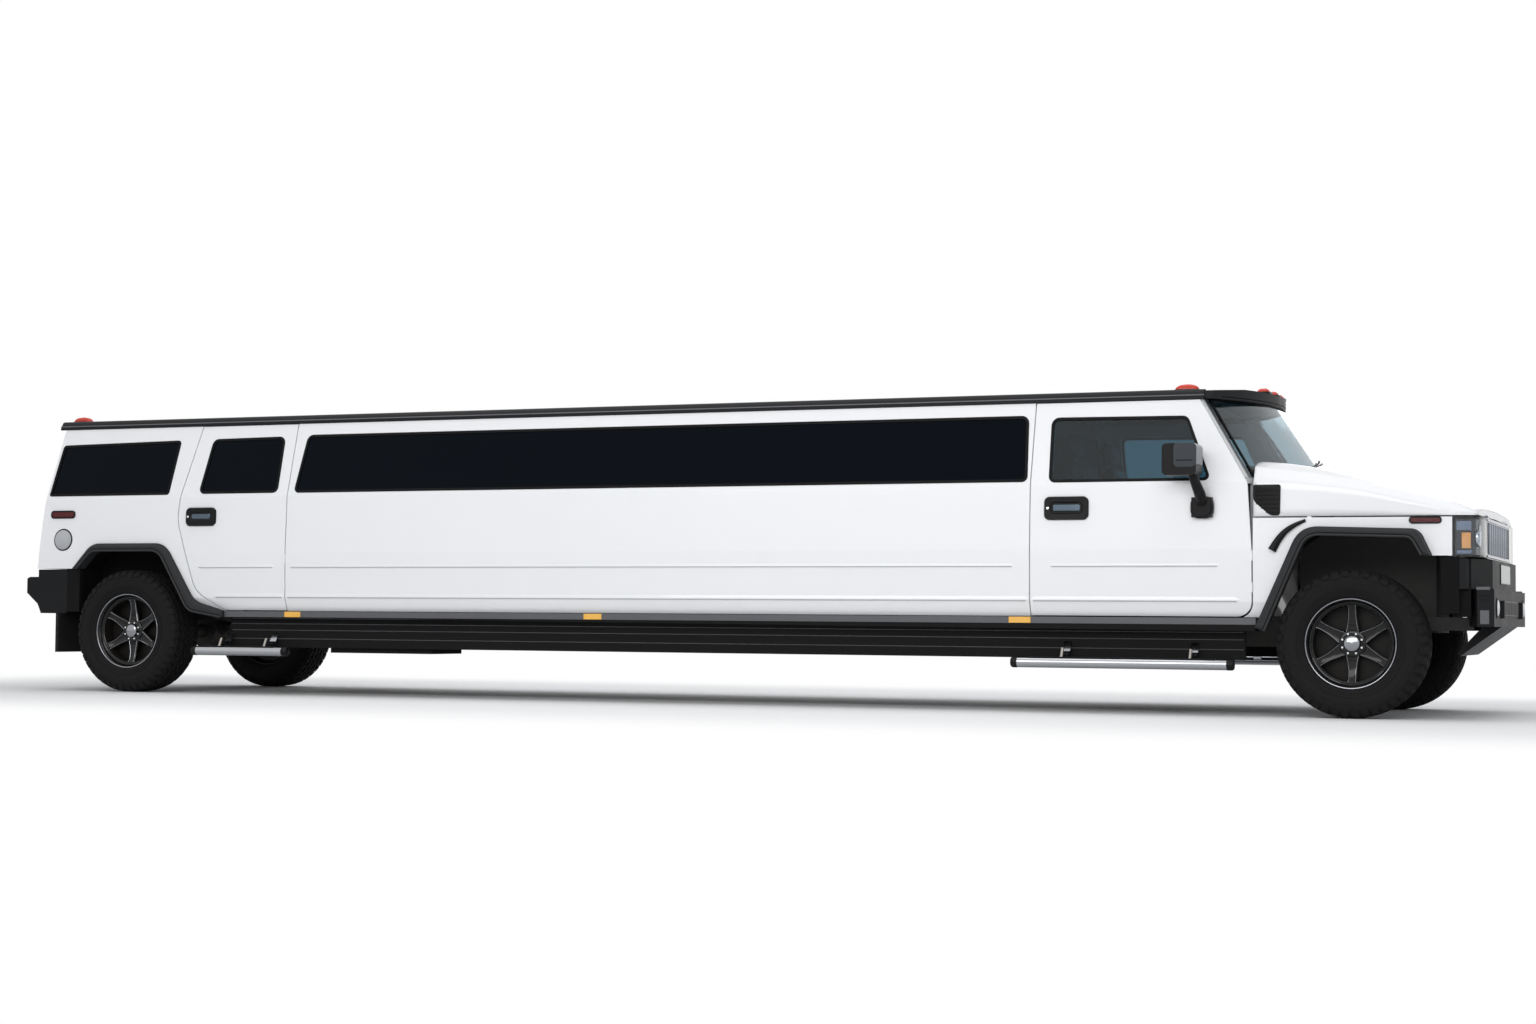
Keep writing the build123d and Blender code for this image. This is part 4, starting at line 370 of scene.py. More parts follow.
# Shape building: points and faces gathered for one piece, each face with its material
def laid(section, axis, station):
    """A flat section's points at a station: (y, z) across X, (x, z) across Y or (x, y) across Z."""
    return [{"x": (station, a, b), "y": (a, station, b), "z": (a, b, station)}[axis] for a, b in section]


class Shape:
    """Points and faces of one piece, with a material for each face."""

    def __init__(self):
        self.points, self.faces, self.face_looks, self.looks = [], [], [], []

    def add(self, points, faces, look):
        """Adds points and faces in one material."""
        if look not in self.looks:
            self.looks.append(look)
        start = len(self.points)
        self.points += [tuple(p) for p in points]
        self.faces += [tuple(start + i for i in face) for face in faces]
        self.face_looks += [self.looks.index(look)] * len(faces)

    def sweep(self, rings, look, caps=True, closed=False):
        """Skin over rings of equal point counts."""
        count = len(rings[0])
        faces = []
        for r in range(len(rings) if closed else len(rings) - 1):
            a, b = r * count, ((r + 1) % len(rings)) * count
            for i in range(count):
                j = (i + 1) % count
                faces.append((a + i, a + j, b + j, b + i))
        if caps and not closed:
            faces.append(tuple(range(count))[::-1])
            faces.append(tuple((len(rings) - 1) * count + i for i in range(count)))
        self.add([p for ring in rings for p in ring], faces, look)

    def bar(self, section, axis, stations, look, **ends):
        """Bar of one flat section through stations on an axis."""
        self.sweep([laid(section, axis, station) for station in stations], look, **ends)

    def box(self, low, high, look):
        """Box between two corners."""
        (x0, y0, z0), (x1, y1, z1) = low, high
        self.bar([(x0, y0), (x1, y0), (x1, y1), (x0, y1)], "z", (z0, z1), look)

    def disc(self, centre, axis, sections, look, sides=32):
        """Turned shape: (radius, distance along the axis) from a centre; radius 0 closes it."""
        axis = Vector(axis).normalized()
        across = axis.orthogonal().normalized()
        other = axis.cross(across)
        self.sweep([[Vector(centre) + axis * along + (across * c + other * s) * max(radius, 1e-5)
                     for c, s in circle(sides)] for radius, along in sections], look, caps=False)

    def tube(self, path, radius, look, sides=10):
        """Tube along points; radius is one value or one for each point."""
        path = [Vector(p) for p in path]
        sizes = radius if isinstance(radius, (list, tuple)) else [radius] * len(path)
        rings = []
        side = None
        for i, point in enumerate(path):
            ahead = (path[min(i + 1, len(path) - 1)] - path[max(i - 1, 0)]).normalized()
            side = (ahead.orthogonal() if side is None else side - ahead * side.dot(ahead)).normalized()
            other = ahead.cross(side)
            rings.append([point + (side * c + other * s) * sizes[i] for c, s in circle(sides)])
        self.sweep(rings, look)

    def place(self, name, slot, body="vehicle", bevel=0.0, mirror=False, crease=34.0):
        """Makes the piece; a mirrored one is its twin on the left side."""
        points = [(x, -y, z) for x, y, z in self.points] if mirror else self.points
        mesh = bpy.data.meshes.new(name)
        mesh.from_pydata(points, [], self.faces)
        for look in self.looks:
            mesh.materials.append(look)
        mesh.polygons.foreach_set("material_index", self.face_looks)
        work = bmesh.new()
        work.from_mesh(mesh)
        bmesh.ops.remove_doubles(work, verts=work.verts, dist=1e-6)
        bmesh.ops.recalc_face_normals(work, faces=work.faces)
        work.to_mesh(mesh)
        work.free()
        mesh.validate()
        mesh.update()
        mesh.shade_smooth()
        mesh.set_sharp_from_angle(angle=math.radians(crease))
        piece = bpy.data.objects.new(name, mesh)
        scene.collection.objects.link(piece)
        if bevel:
            soften(piece, bevel, 2, 40)
        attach(piece, body)
        return piece

    def both(self, name, slot, body="vehicle", **options):
        """The piece on the right side and its twin on the left."""
        return (self.place(name + "_right", slot, body.format("right"), **options),
                self.place(name + "_left", slot, body.format("left"), mirror=True, **options))


def soften(piece, width, segments, angle):
    """Rounds the edges that turn by more than an angle in degrees."""
    edge = piece.modifiers.new("edges", "BEVEL")
    edge.width, edge.segments = width, segments
    edge.limit_method = "ANGLE"
    edge.angle_limit = math.radians(angle)


def rounded(table, grow=0.0, steps=6):
    """Outline of a table of (x, z, corner radius), its corners rounded and its edge moved outward."""
    corners = [Vector((x, z)) for x, z, _ in table]
    area = sum(a.x * b.y - b.x * a.y for a, b in zip(corners, corners[1:] + corners[:1]))
    turn = 1.0 if area > 0 else -1.0
    least = 0.0004
    out = []
    for i, here in enumerate(corners):
        before = (here - corners[i - 1]).normalized()
        after = (corners[(i + 1) % len(corners)] - here).normalized()
        normal_a = Vector((before.y, -before.x)) * turn
        normal_b = Vector((after.y, -after.x)) * turn
        half = (normal_a + normal_b).normalized()
        spread = max(0.2, half.dot(normal_a))
        sign = 1.0 if (before.x * after.y - before.y * after.x) * turn > 0 else -1.0
        radius = table[i][2]
        centre = here - half * (sign * radius / spread)
        reach = radius + sign * grow
        if reach < 0.0005:
            centre = here + half * (sign * (grow - least) / spread)
            reach = least
        start = math.atan2(normal_a.y * sign, normal_a.x * sign)
        swing = math.atan2(normal_b.y * sign, normal_b.x * sign) - start
        swing = (swing + math.pi) % (2 * math.pi) - math.pi
        for k in range(steps + 1):
            angle = start + swing * k / steps
            out.append(centre + Vector((math.cos(angle), math.sin(angle))) * reach)
    return [(p.x, p.y) for p in out]


def side_ring(outline, proud):
    """An (x, z) outline laid on the right side of the body."""
    return [side_point(x, z, proud)[0] for x, z in outline]


def side_band(shape, table, grow_out, grow_in, low, high, look):
    """Raised band round a table's outline on the right side."""
    outer, inner = rounded(table, grow_out), rounded(table, grow_in)
    shape.sweep([side_ring(outline, proud) for outline, proud in
                 ((outer, low), (outer, high), (inner, high), (inner, low))], look, caps=False, closed=True)


def side_plate(shape, table, low, high, look, draw_in=0.0):
    """Plate on the right side with a table's outline, its top drawn in a little."""
    outline = rounded(table)
    shape.sweep([side_ring(outline, low), side_ring(outline, high - draw_in),
                 side_ring(rounded(table, -draw_in), high)], look)


def quad_table(x_low, x_high, z_low, z_high, radius):
    """Table of an upright rectangle with rounded corners."""
    corners = ((x_low, z_low), (x_high, z_low), (x_high, z_high), (x_low, z_high))
    return [(x, z, radius) for x, z in corners]


# Wheels: tyres with tread blocks, and six-spoked rims
WHEELS = [("front_right", FRONT_AXLE, -1), ("front_left", FRONT_AXLE, 1),
          ("rear_right", REAR_AXLE, -1), ("rear_left", REAR_AXLE, 1)]
WHEEL_Y = 0.8825
TYRE_RADIUS = 0.440
TYRE_SIDES = 96
TREAD_BLOCKS = 44
# (radius, distance out from the wheel's middle)
TYRE_RINGS = [(0.2560, 0.112), (0.2690, 0.1285), (0.2735, 0.1400), (0.2850, 0.1470), (0.3020, 0.1520),
              (0.3250, 0.1562), (0.3440, 0.1572), (0.3560, 0.1575), (0.3580, 0.1560), (0.3700, 0.1558),
              (0.3850, 0.1530), (0.4000, 0.1490), (0.4120, 0.1420), (0.4210, 0.1300), (0.4270, 0.1180)]
# Tread rows: (out from, out to, shift in blocks, skew)
TREAD_ROWS = [(-0.022, 0.022, 0.0, 3.5), (0.030, 0.072, 0.5, -4.5), (-0.072, -0.030, 0.25, -4.5),
              (0.080, 0.118, 0.0, 2.0), (-0.118, -0.080, 0.6, 2.0)]
# Spokes: (radius, half width, face, depth)
SPOKE_ROWS = [(0.060, 0.040, 0.060, 0.038), (0.110, 0.031, 0.057, 0.036), (0.160, 0.024, 0.060, 0.032),
              (0.205, 0.023, 0.070, 0.028), (0.232, 0.028, 0.088, 0.024)]


def tyre_piece(name, axle, side):
    """Tyre: smooth carcass, five rows of tread blocks, shoulder lugs and two sidewall ribs."""
    shape = Shape()
    turns = [2 * math.pi * i / TYRE_SIDES for i in range(TYRE_SIDES)]
    section = TYRE_RINGS + [(0.4285, 0.06), (0.4285, -0.06)] + [(r, -o) for r, o in TYRE_RINGS[::-1]]

    def spot(radius, out, angle):
        return (axle + radius * math.cos(angle), side * WHEEL_Y + side * out,
                AXLE_Z + radius * math.sin(angle))

    shape.sweep([[spot(r, o, t) for r, o in section] for t in turns], tread, closed=True)
    step = 2 * math.pi / TREAD_BLOCKS
    low, inset = 0.4255, 0.003
    for i in range(TREAD_BLOCKS):
        for row, (out_a, out_b, shift, skew) in enumerate(TREAD_ROWS):
            high = TYRE_RADIUS - (0.0005 if row < 3 else 0.0035)
            start, end = ((i + shift + part) * step for part in (0.10, 0.84))
            base, top = [], []
            for out, angle, dx, da in ((out_a, start, 1, 1), (out_b, start, -1, 1), (out_b, end, -1, -1),
                                       (out_a, end, 1, -1)):
                lean = skew * (out - (out_a + out_b) / 2)
                base.append(spot(low, out, angle + lean))
                top.append(spot(high, out + dx * inset, angle + lean + da * inset / TYRE_RADIUS))
            shape.sweep([base, top], tread)
    for i in range(TREAD_BLOCKS):
        deep = 0.398 if i % 2 else 0.386
        for way in (1, -1):
            lug = [(0.4210, 0.1180), (0.4360, 0.1200), (0.4230, 0.1420), (0.4040, 0.1535), (deep, 0.1572),
                   (deep - 0.004, 0.1500)]
            shape.sweep([[spot(r, way * out, (i + part) * step) for r, out in lug]
                         for part in (0.12, 0.80)], tread)
    for radius, width in ((0.292, 0.1500), (0.3135, 0.1556)):
        rib = [(radius - 0.0035, width - 0.004), (radius - 0.0025, width + 0.0015),
               (radius + 0.0025, width + 0.0020), (radius + 0.0035, width - 0.004)]
        shape.sweep([[spot(r, out, t) for r, out in rib] for t in turns], tread, closed=True)
    piece = shape.place("tyre_dressed_" + name, "tyre_rubber", "wheel_" + name, crease=28.0)
    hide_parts("tyre_" + name)


def rim_piece(name, axle, side):
    """Rim: black barrel with a bright lip, six spokes with bright edges, and a hub with a domed cap."""
    shape = Shape()
    centre = Vector((axle, side * WHEEL_Y, AXLE_Z))
    out = Vector((0, side, 0))

    def spot(radius, along, angle, across=0.0):
        base = Vector((math.cos(angle), 0, math.sin(angle)))
        tangent = Vector((-math.sin(angle), 0, math.cos(angle)))
        return centre + base * radius + tangent * across + out * along

    for look, sections in (
            (wheel_black, [(0.2440, 0.104), (0.2560, 0.131), (0.2600, 0.1340)]),
            (lip_bright, [(0.2600, 0.1340), (0.2625, 0.1352), (0.2655, 0.1350), (0.2680, 0.1325),
                          (0.2680, 0.1285), (0.2540, 0.1160)]),
            (wheel_black, [(0.2330, 0.096), (0.2360, 0.101), (0.2400, 0.1025), (0.2440, 0.104)]),
            (lip_bright, [(0.2265, 0.085), (0.2272, 0.0925)]),
            (wheel_black, [(0.2272, 0.0925), (0.2330, 0.0960)]),
            (alloy_dark, [(0.2540, 0.1160), (0.2537, 0.0), (0.2537, -0.116), (0.2680, -0.1280),
                          (0.2680, -0.1340), (0.2580, -0.1340), (0.2420, -0.110)]),
            (alloy_dark, [(0.2265, 0.085), (0.2240, 0.060), (0.2260, 0.0), (0.2300, -0.06),
                          (0.2420, -0.110)]),
            (alloy_dark, [(0.160, -0.082), (0.160, -0.088), (0.240, -0.088), (0.240, -0.082),
                          (0.160, -0.082)]),
            (alloy_dark, [(0.078, -0.004), (0.078, -0.010), (0.2275, -0.010), (0.2275, -0.004),
                          (0.078, -0.004)])):
        shape.disc(centre, out, sections, look, 72)
    for i in range(6):
        angle = math.radians(30 + 60 * i)
        rings, edge_a, edge_b = [], [], []
        for radius, half, face, depth in SPOKE_ROWS:
            rings.append([spot(radius, face - back, angle, across) for back, across in (
                (depth, -half - 0.004), (0.006, -half - 0.002), (0.0, -half + 0.006), (0.005, 0.0),
                (0.0, half - 0.006), (0.006, half + 0.002), (depth, half + 0.004))])
            edge_a.append(spot(radius, face + 0.0005, angle, half - 0.004))
            edge_b.append(spot(radius, face + 0.0005, angle, -half + 0.004))
        shape.sweep(rings, wheel_black)
        shape.tube(edge_a, 0.0019, lip_bright, sides=6)
        shape.tube(edge_b, 0.0019, lip_bright, sides=6)
    for look, sections in (
            (wheel_black, [(0.0, -0.02), (0.082, -0.02), (0.084, 0.052), (0.078, 0.062), (0.070, 0.066)]),
            (wheel_black, [(0.070, 0.066), (0.060, 0.067), (0.050, 0.0665)]),
            (lip_bright, [(0.050, 0.064), (0.049, 0.078), (0.044, 0.087), (0.030, 0.0935), (0.0, 0.096)])):
        shape.disc(centre, out, sections, look, 48)
    for i in range(8):
        nut = spot(0.061, 0.064, math.radians(45 * i + 22.5))
        shape.disc(nut, out, [(0.0085, 0.0), (0.0085, 0.012), (0.0065, 0.016), (0.0, 0.0165)], chrome, 6)
    valve = spot(0.205, 0.086, math.radians(60))
    shape.tube([valve, valve + out * 0.018], [0.0035, 0.0030], trim_black, sides=8)
    piece = shape.place("rim_dressed_" + name, "wheel_finish", "wheel_" + name, crease=30.0)
    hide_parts("rim_" + name)


for wheel in WHEELS:
    tyre_piece(*wheel)
    rim_piece(*wheel)

# Windows: black seals, and a thin bright line at the front edge of the front door's window
FRONT_WINDOW = [(DOOR_REAR + 0.122, 1.420, 0.035), (DOOR_FRONT - 0.258, 1.420, 0.025),
                (DOOR_FRONT - 0.418, 1.812, 0.045), (DOOR_REAR + 0.112, 1.820, 0.045)]
REAR_WINDOW = [(REAR_AXLE + 0.571, 1.430, 0.035), (REAR_DOOR_FRONT - 0.090, 1.430, 0.035),
               (REAR_DOOR_FRONT - 0.096, 1.825, 0.045), (REAR_AXLE + 0.622, 1.818, 0.045)]
CENTRE_WINDOW = [(REAR_DOOR_FRONT + 0.056, 1.428, 0.030), (DOOR_REAR - 0.026, 1.426, 0.030),
                 (DOOR_REAR - 0.046, 1.836, 0.045), (REAR_DOOR_FRONT + 0.100, 1.832, 0.045)]
QUARTER_WINDOW = [(BODY_REAR + 0.085, 1.427, 0.012), (REAR_AXLE + 0.303, 1.427, 0.018),
                  (REAR_AXLE + 0.334, 1.815, 0.022), (BODY_REAR + 0.132, 1.798, 0.022)]
for seal_name, table, body in (("front_window_seal", FRONT_WINDOW, FRONT_DOOR),
                               ("rear_window_seal", REAR_WINDOW, REAR_DOOR),
                               ("centre_window_seal", CENTRE_WINDOW, "vehicle"),
                               ("quarter_window_seal", QUARTER_WINDOW, "vehicle")):
    shape = Shape()
    side_band(shape, table, 0.006, -0.012, -0.006, 0.0022, seal)
    if table is FRONT_WINDOW:
        shape.tube(side_ring(rounded(table, -0.013)[8:14], -0.001), 0.0028, chrome, sides=8)
    shape.both(seal_name, "trim_plastic", body)

# Pressed lines of the doors and side panels: an upper and a lower ridge, each over a painted grey shadow line
LINE_PROFILES = (
    [(0.917, -0.002), (0.917, 0.0008), (0.906, 0.0062), (0.899, 0.0066), (0.886, 0.0008), (0.886, -0.002)],
    [(0.712, -0.002), (0.712, 0.0006), (0.696, 0.0052), (0.688, 0.0052), (0.668, 0.0006), (0.668, -0.002)])
LINE_ENDS = 0.15
for line_name, upper_span, lower_span, body in (
        ("rear_door_lines", (REAR_AXLE + 0.575, REAR_DOOR_FRONT - 0.085),
         (REAR_AXLE + 0.72, REAR_DOOR_FRONT - SEAM_HALF), REAR_DOOR),
        ("centre_lines", (REAR_DOOR_FRONT + 0.032, DOOR_REAR - 0.093),
         (REAR_DOOR_FRONT + SEAM_HALF, DOOR_REAR - SEAM_HALF), "vehicle"),
        ("front_door_lines", (DOOR_REAR + 0.119, DOOR_FRONT - 0.190),
         (DOOR_REAR + SEAM_HALF, DOOR_FRONT - 0.073), FRONT_DOOR)):
    shape = Shape()
    for (x_low, x_high), profile in zip((upper_span, lower_span), LINE_PROFILES):
        middle = sum(z for z, _ in profile) / len(profile)
        shape.sweep([[side_point(x, middle + (z - middle) * share, proud * share if proud > 0 else proud)[0]
                      for z, proud in profile]
                     for x, share in ((x_low, LINE_ENDS), (x_low + 0.03, 1.0), (x_high - 0.03, 1.0),
                                      (x_high, LINE_ENDS))], paint)
        # A grey strip under the ridge paints its shadow
        z = profile[3][0]
        shadow = [(z, 0.004), (z, 0.0072), (z - 0.0060, 0.0060), (z - 0.0060, 0.003)]
        shape.sweep([[side_point(x, z, proud)[0] for z, proud in shadow]
                     for x in (x_low + 0.02, x_high - 0.02)], line_shadow_grey)
    shape.both(line_name, "white_paint", body, crease=60.0)

# Door handles: black frame, recess and a bright paddle over each raised pad
for handle_name, x_mid, z_mid, length, height, body in (
        ("front_handle", DOOR_REAR + 0.233, 1.254, 0.264, 0.128, FRONT_DOOR),
        ("rear_handle", REAR_AXLE + 0.601, 1.259, 0.236, 0.116, REAR_DOOR)):
    shape = Shape()
    a, b = length / 2, height / 2
    outer = quad_table(x_mid - a, x_mid + a, z_mid - b, z_mid + b, 0.026)
    inner = quad_table(x_mid - a * 0.70, x_mid + a * 0.74, z_mid - b * 0.46, z_mid + b * 0.50, 0.018)
    bar = quad_table(x_mid - a * 0.64, x_mid + a * 0.68, z_mid - b * 0.30, z_mid + b * 0.40, 0.012)
    shape.sweep([side_ring(rounded(table, grow), proud) for table, grow, proud in (
        (outer, 0.0085, -0.001), (outer, 0.0085, 0.010), (outer, 0.003, 0.0185), (inner, 0.008, 0.0175),
        (inner, 0.0, 0.0100))], trim_black, caps=False)
    side_plate(shape, inner, 0.0085, 0.0096, gloss_black)
    side_plate(shape, bar, 0.0090, 0.0165, paddle, draw_in=0.004)
    shape.disc(side_point(x_mid - a * 0.88, z_mid, 0.0172)[0], side_point(x_mid, z_mid)[1],
               [(0.0085, 0.0), (0.0085, 0.0022), (0.006, 0.003), (0.0, 0.003)], chrome, 16)
    shape.both(handle_name, "trim_plastic", body)

# Fuel filler, markers and reflectors
shape = Shape()
cap_at, cap_out = side_point(FRONT_AXLE - 9.311, 1.101)
shape.disc(cap_at, cap_out, [(0.081, -0.003), (0.081, 0.003), (0.076, 0.0045), (0.0725, 0.0035)], seal, 48)
shape.disc(cap_at, cap_out, [(0.0725, 0.002), (0.0715, 0.0062), (0.066, 0.0075), (0.0, 0.0080)], cap_grey, 48)
shape.box((cap_at.x + 0.045, cap_at.y - 0.011, cap_at.z - 0.016),
          (cap_at.x + 0.057, cap_at.y - 0.004, cap_at.z + 0.016), cap_grey)
shape.place("fuel_filler_right", "trim_plastic")

shape = Shape()
table = quad_table(BODY_REAR + 0.118, BODY_REAR + 0.318, 1.264, 1.308, 0.018)
side_band(shape, table, 0.007, -0.003, -0.001, 0.0095, trim_black)
side_plate(shape, table, 0.0, 0.0085, dark_red, draw_in=0.004)
for i in range(7):
    x = BODY_REAR + 0.143 + 0.025 * i
    side_plate(shape, quad_table(x - 0.009, x + 0.009, 1.272, 1.300, 0.004), 0.006, 0.0095, dark_red,
               draw_in=0.002)
shape.both("rear_side_marker", "marker_lens")

shape = Shape()
table = quad_table(FRONT_AXLE + 0.333, FRONT_AXLE + 0.507, 1.150, 1.181, 0.014)
side_band(shape, table, 0.006, -0.003, -0.002, 0.0085, trim_black)
side_plate(shape, table, 0.0, 0.0075, dark_red, draw_in=0.003)
shape.both("front_side_marker", "marker_lens")

SILL_Y = 0.9845
shape = Shape()
for start, end in ((-7.390, -7.257), (-5.040, -4.906), (-2.094, -1.952)):
    x_low, x_high = FRONT_AXLE + start, FRONT_AXLE + end
    shape.sweep([[(x, -SILL_Y, 0.546), (x, -SILL_Y - out, 0.549), (x, -SILL_Y - out, 0.583),
                  (x, -SILL_Y, 0.586)]
                 for x, out in ((x_low, 0.002), (x_low + 0.004, 0.007), (x_high - 0.004, 0.007),
                                (x_high, 0.002))], reflex)
shape.both("rocker_reflectors", "marker_lens")

shape = Shape()
strip_low, strip_high = REAR_AXLE + 0.815, FRONT_AXLE - 0.562
shape.bar([(-0.9835, 0.5445), (-0.9868, 0.5470), (-0.9868, 0.5835), (-0.9835, 0.5875)], "x",
          (strip_low, strip_high), strip_grey)
# Ridges along the black skirt: their grey is a painted highlight along each rib
for z in (0.5385, 0.500, 0.455, 0.395):
    shape.bar([(-0.8995, z - 0.003), (-0.9035, z), (-0.8995, z + 0.003)], "x",
              (strip_low + 0.01, FRONT_AXLE - 0.65), ridge_highlight_grey)
shape.both("rocker_trim", "trim_plastic")

# Roof: dark edge mouldings with a thin pale line, a dark brow, ribs and domed lamps
ROOF_REAR = BODY_REAR + 0.075
ROOF_FRONT = FRONT_AXLE - 0.905
shape = Shape()
shape.bar([(-0.8375, 1.9190), (-0.8470, 1.9215), (-0.8475, 1.9330), (-0.8350, 1.9550), (-0.8215, 1.9760),
           (-0.8060, 1.9835), (-0.7800, 1.9845), (-0.7800, 1.9760), (-0.8080, 1.9750), (-0.8370, 1.9260)],
          "x", (ROOF_REAR - 0.004, ROOF_FRONT), roof_black)
shape.bar([(-0.8430, 1.9415), (-0.8455, 1.9420), (-0.8405, 1.9500), (-0.8380, 1.9490)], "x",
          (ROOF_REAR - 0.006, ROOF_FRONT + 0.002), strip_grey)
shape.both("roof_edge", "black_paint", bevel=0.002)

shape = Shape()
shape.sweep([[(FRONT_AXLE - 0.600 - 0.275 * share * share + forward, 0.842 * share, z) for forward, z in
              ((0.000, 1.921), (0.0125, 1.923), (0.0125, 1.936), (0.000, 1.944))]
             for share in (s / 12 for s in range(-12, 13))], roof_black)
shape.place("roof_brow", "black_paint", crease=50.0)
shape = Shape()
RIB_BASE, RIB_TOP = 1.990, 1.999
for y in (-0.42, -0.14, 0.14, 0.42):
    shape.sweep([[(x, y - 0.022, RIB_BASE), (x, y - 0.012, RIB_TOP - drop), (x, y + 0.012, RIB_TOP - drop),
                  (x, y + 0.022, RIB_BASE)]
                 for x, drop in ((ROOF_REAR + 0.35, 0.006), (ROOF_REAR + 0.45, 0.0),
                                 (FRONT_AXLE - 1.150, 0.0), (FRONT_AXLE - 1.050, 0.006))], roof_black)
shape.place("roof_ribs", "black_paint", crease=50.0)
shape = Shape()
shape.box((ROOF_REAR - 0.010, -0.800, 1.9300), (ROOF_REAR + 0.050, 0.800, 1.9845), roof_black)
shape.place("roof_rear_edge", "black_paint", bevel=0.006)


def dome(shape, x, y, length, width, base, height):
    """Domed red lamp on a dark base."""
    outline = [(swell(c, 0.6), swell(s, 0.6)) for c, s in circle(28)]
    shape.bar([(x + (length / 2 + 0.006) * c, y + (width / 2 + 0.006) * s) for c, s in outline], "z",
              (base - 0.006, base + 0.010), trim_black)
    rings = []
    for k in range(7):
        size = math.sqrt(max(0.0, 1 - (k / 6) ** 2.4)) if k < 6 else 0.12
        rings.append([(x + length / 2 * size * c, y + width / 2 * size * s, base + 0.008 + height * (k / 6))
                      for c, s in outline])
    shape.sweep(rings, red_lens)


shape = Shape()
for x, y in ((FRONT_AXLE - 1.040, -0.690), (FRONT_AXLE - 1.040, 0.690), (FRONT_AXLE - 0.645, 0.0),
             (FRONT_AXLE - 0.655, -0.230), (FRONT_AXLE - 0.655, 0.230), (ROOF_REAR + 0.082, -0.690),
             (ROOF_REAR + 0.082, 0.690)):
    if abs(y) > 0.5:
        dome(shape, x, y, 0.150, 0.070, 1.984, 0.036)
    else:
        dome(shape, x, y, 0.080, 0.135, 1.996, 0.030)
piece = shape.place("roof_lamps", "marker_lens")
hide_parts("marker_lamps")

# Hood: smooth skin over the sections of the solid hood. Each section is a station, how far its side is
# drawn in, and rows of (share of the side, height)
HOOD_SECTIONS = [
    (FRONT_AXLE - 0.590, 0.000, ((1.0, 1.400), (0.945, 1.495), (0.83, 1.532), (0.66, 1.545), (0, 1.590))),
    (FRONT_AXLE - 0.330, 0.000, ((1.0, 1.390), (0.935, 1.462), (0.82, 1.506), (0.66, 1.512), (0, 1.530))),
    (FRONT_AXLE + 0.030, 0.000, ((1.0, 1.345), (0.935, 1.400), (0.82, 1.428), (0.66, 1.437), (0, 1.450))),
    (FRONT_AXLE + 0.560, 0.000, ((1.0, 1.225), (0.94, 1.272), (0.83, 1.295), (0.66, 1.302), (0, 1.312))),
    (FRONT_AXLE + 0.718, 0.014, ((1.0, 1.200), (0.96, 1.212), (0.85, 1.228), (0.66, 1.238), (0, 1.246))),
]
HOOD_SEAM = 1.193
HOOD_HALF = 0.887
HOOD_STEPS, HOOD_BLEND = 36, 14
SKIN = 0.0018


def spline(rows, x):
    """Smooth value at x through rows of (x, value)."""
    if x <= rows[0][0]:
        return rows[0][1]
    if x >= rows[-1][0]:
        return rows[-1][1]
    i = max(k for k in range(len(rows) - 1) if rows[k][0] <= x)
    (x0, v0), (x1, v1) = rows[i], rows[i + 1]
    slope = (v1 - v0) / (x1 - x0)
    m0 = slope if i == 0 else (v1 - rows[i - 1][1]) / (x1 - rows[i - 1][0])
    m1 = slope if i == len(rows) - 2 else (rows[i + 2][1] - v0) / (rows[i + 2][0] - x0)
    t, h = (x - x0) / (x1 - x0), x1 - x0
    return ((2 * t ** 3 - 3 * t * t + 1) * v0 + (t ** 3 - 2 * t * t + t) * h * m0
            + (-2 * t ** 3 + 3 * t * t) * v1 + (t ** 3 - t * t) * h * m1)


def hood_column(x):
    """Half of the hood's section at a station: (y outward, z) from the seam to the middle."""
    side = half_width(HOOD_SEAM) - taper(x) - spline([(at, narrow) for at, narrow, _ in HOOD_SECTIONS], x)
    tops = [tuple(spline([(at, rows[k][i]) for at, _, rows in HOOD_SECTIONS], x) for i in (0, 1))
            for k in range(5)]
    edge = tops[0][1]
    line = [(side + SKIN, HOOD_SEAM + 0.001)]
    line += [(side + SKIN, HOOD_SEAM + (edge - HOOD_SEAM) * k / 4) for k in (1, 2, 3)]
    line += [(side + SKIN, edge - 0.006), (side - 0.004 + SKIN, edge + 0.004)]
    for (s0, z0), (s1, z1) in zip(tops, tops[1:]):
        for t in (0.25, 0.5, 0.75, 1.0):
            line.append((side * (s0 + (s1 - s0) * t) + SKIN * 0.5, z0 + (z1 - z0) * t + SKIN))
    return line


def screen_edge(y):
    """Rear edge of the hood's top at a distance from the middle."""
    back = FRONT_AXLE - 0.603 + 0.298 * (1 - (y / HOOD_HALF) ** 2)
    return max(DOOR_FRONT + 0.008, back + 0.004)


shape = Shape()
stations = [DOOR_FRONT + 0.009 + (FRONT_AXLE + 0.7185 - DOOR_FRONT - 0.009) * i / HOOD_STEPS
            for i in range(HOOD_STEPS + 1)]
rings = []
for i, x in enumerate(stations):
    half = []
    for k, (y, _) in enumerate(hood_column(x)):
        start = screen_edge(min(y, HOOD_HALF))
        placed = start + (stations[HOOD_BLEND] - start) * min(1.0, i / HOOD_BLEND) if i <= HOOD_BLEND else x
        half.append((placed, *hood_column(placed)[k]))
    rings.append([(x, -y, z) for x, y, z in half] + half[-2::-1])
count = len(rings[0])
faces = [(r * count + i, r * count + i + 1, (r + 1) * count + i + 1, (r + 1) * count + i)
         for r in range(HOOD_STEPS) for i in range(count - 1)]
shape.add([p for ring in rings for p in ring], faces, paint)
skin = shape.place("hood_skin", "white_paint", "hood_body", crease=26.0)
thick = skin.modifiers.new("sheet", "SOLIDIFY")
thick.thickness = 0.0012
thick.offset = -1.0

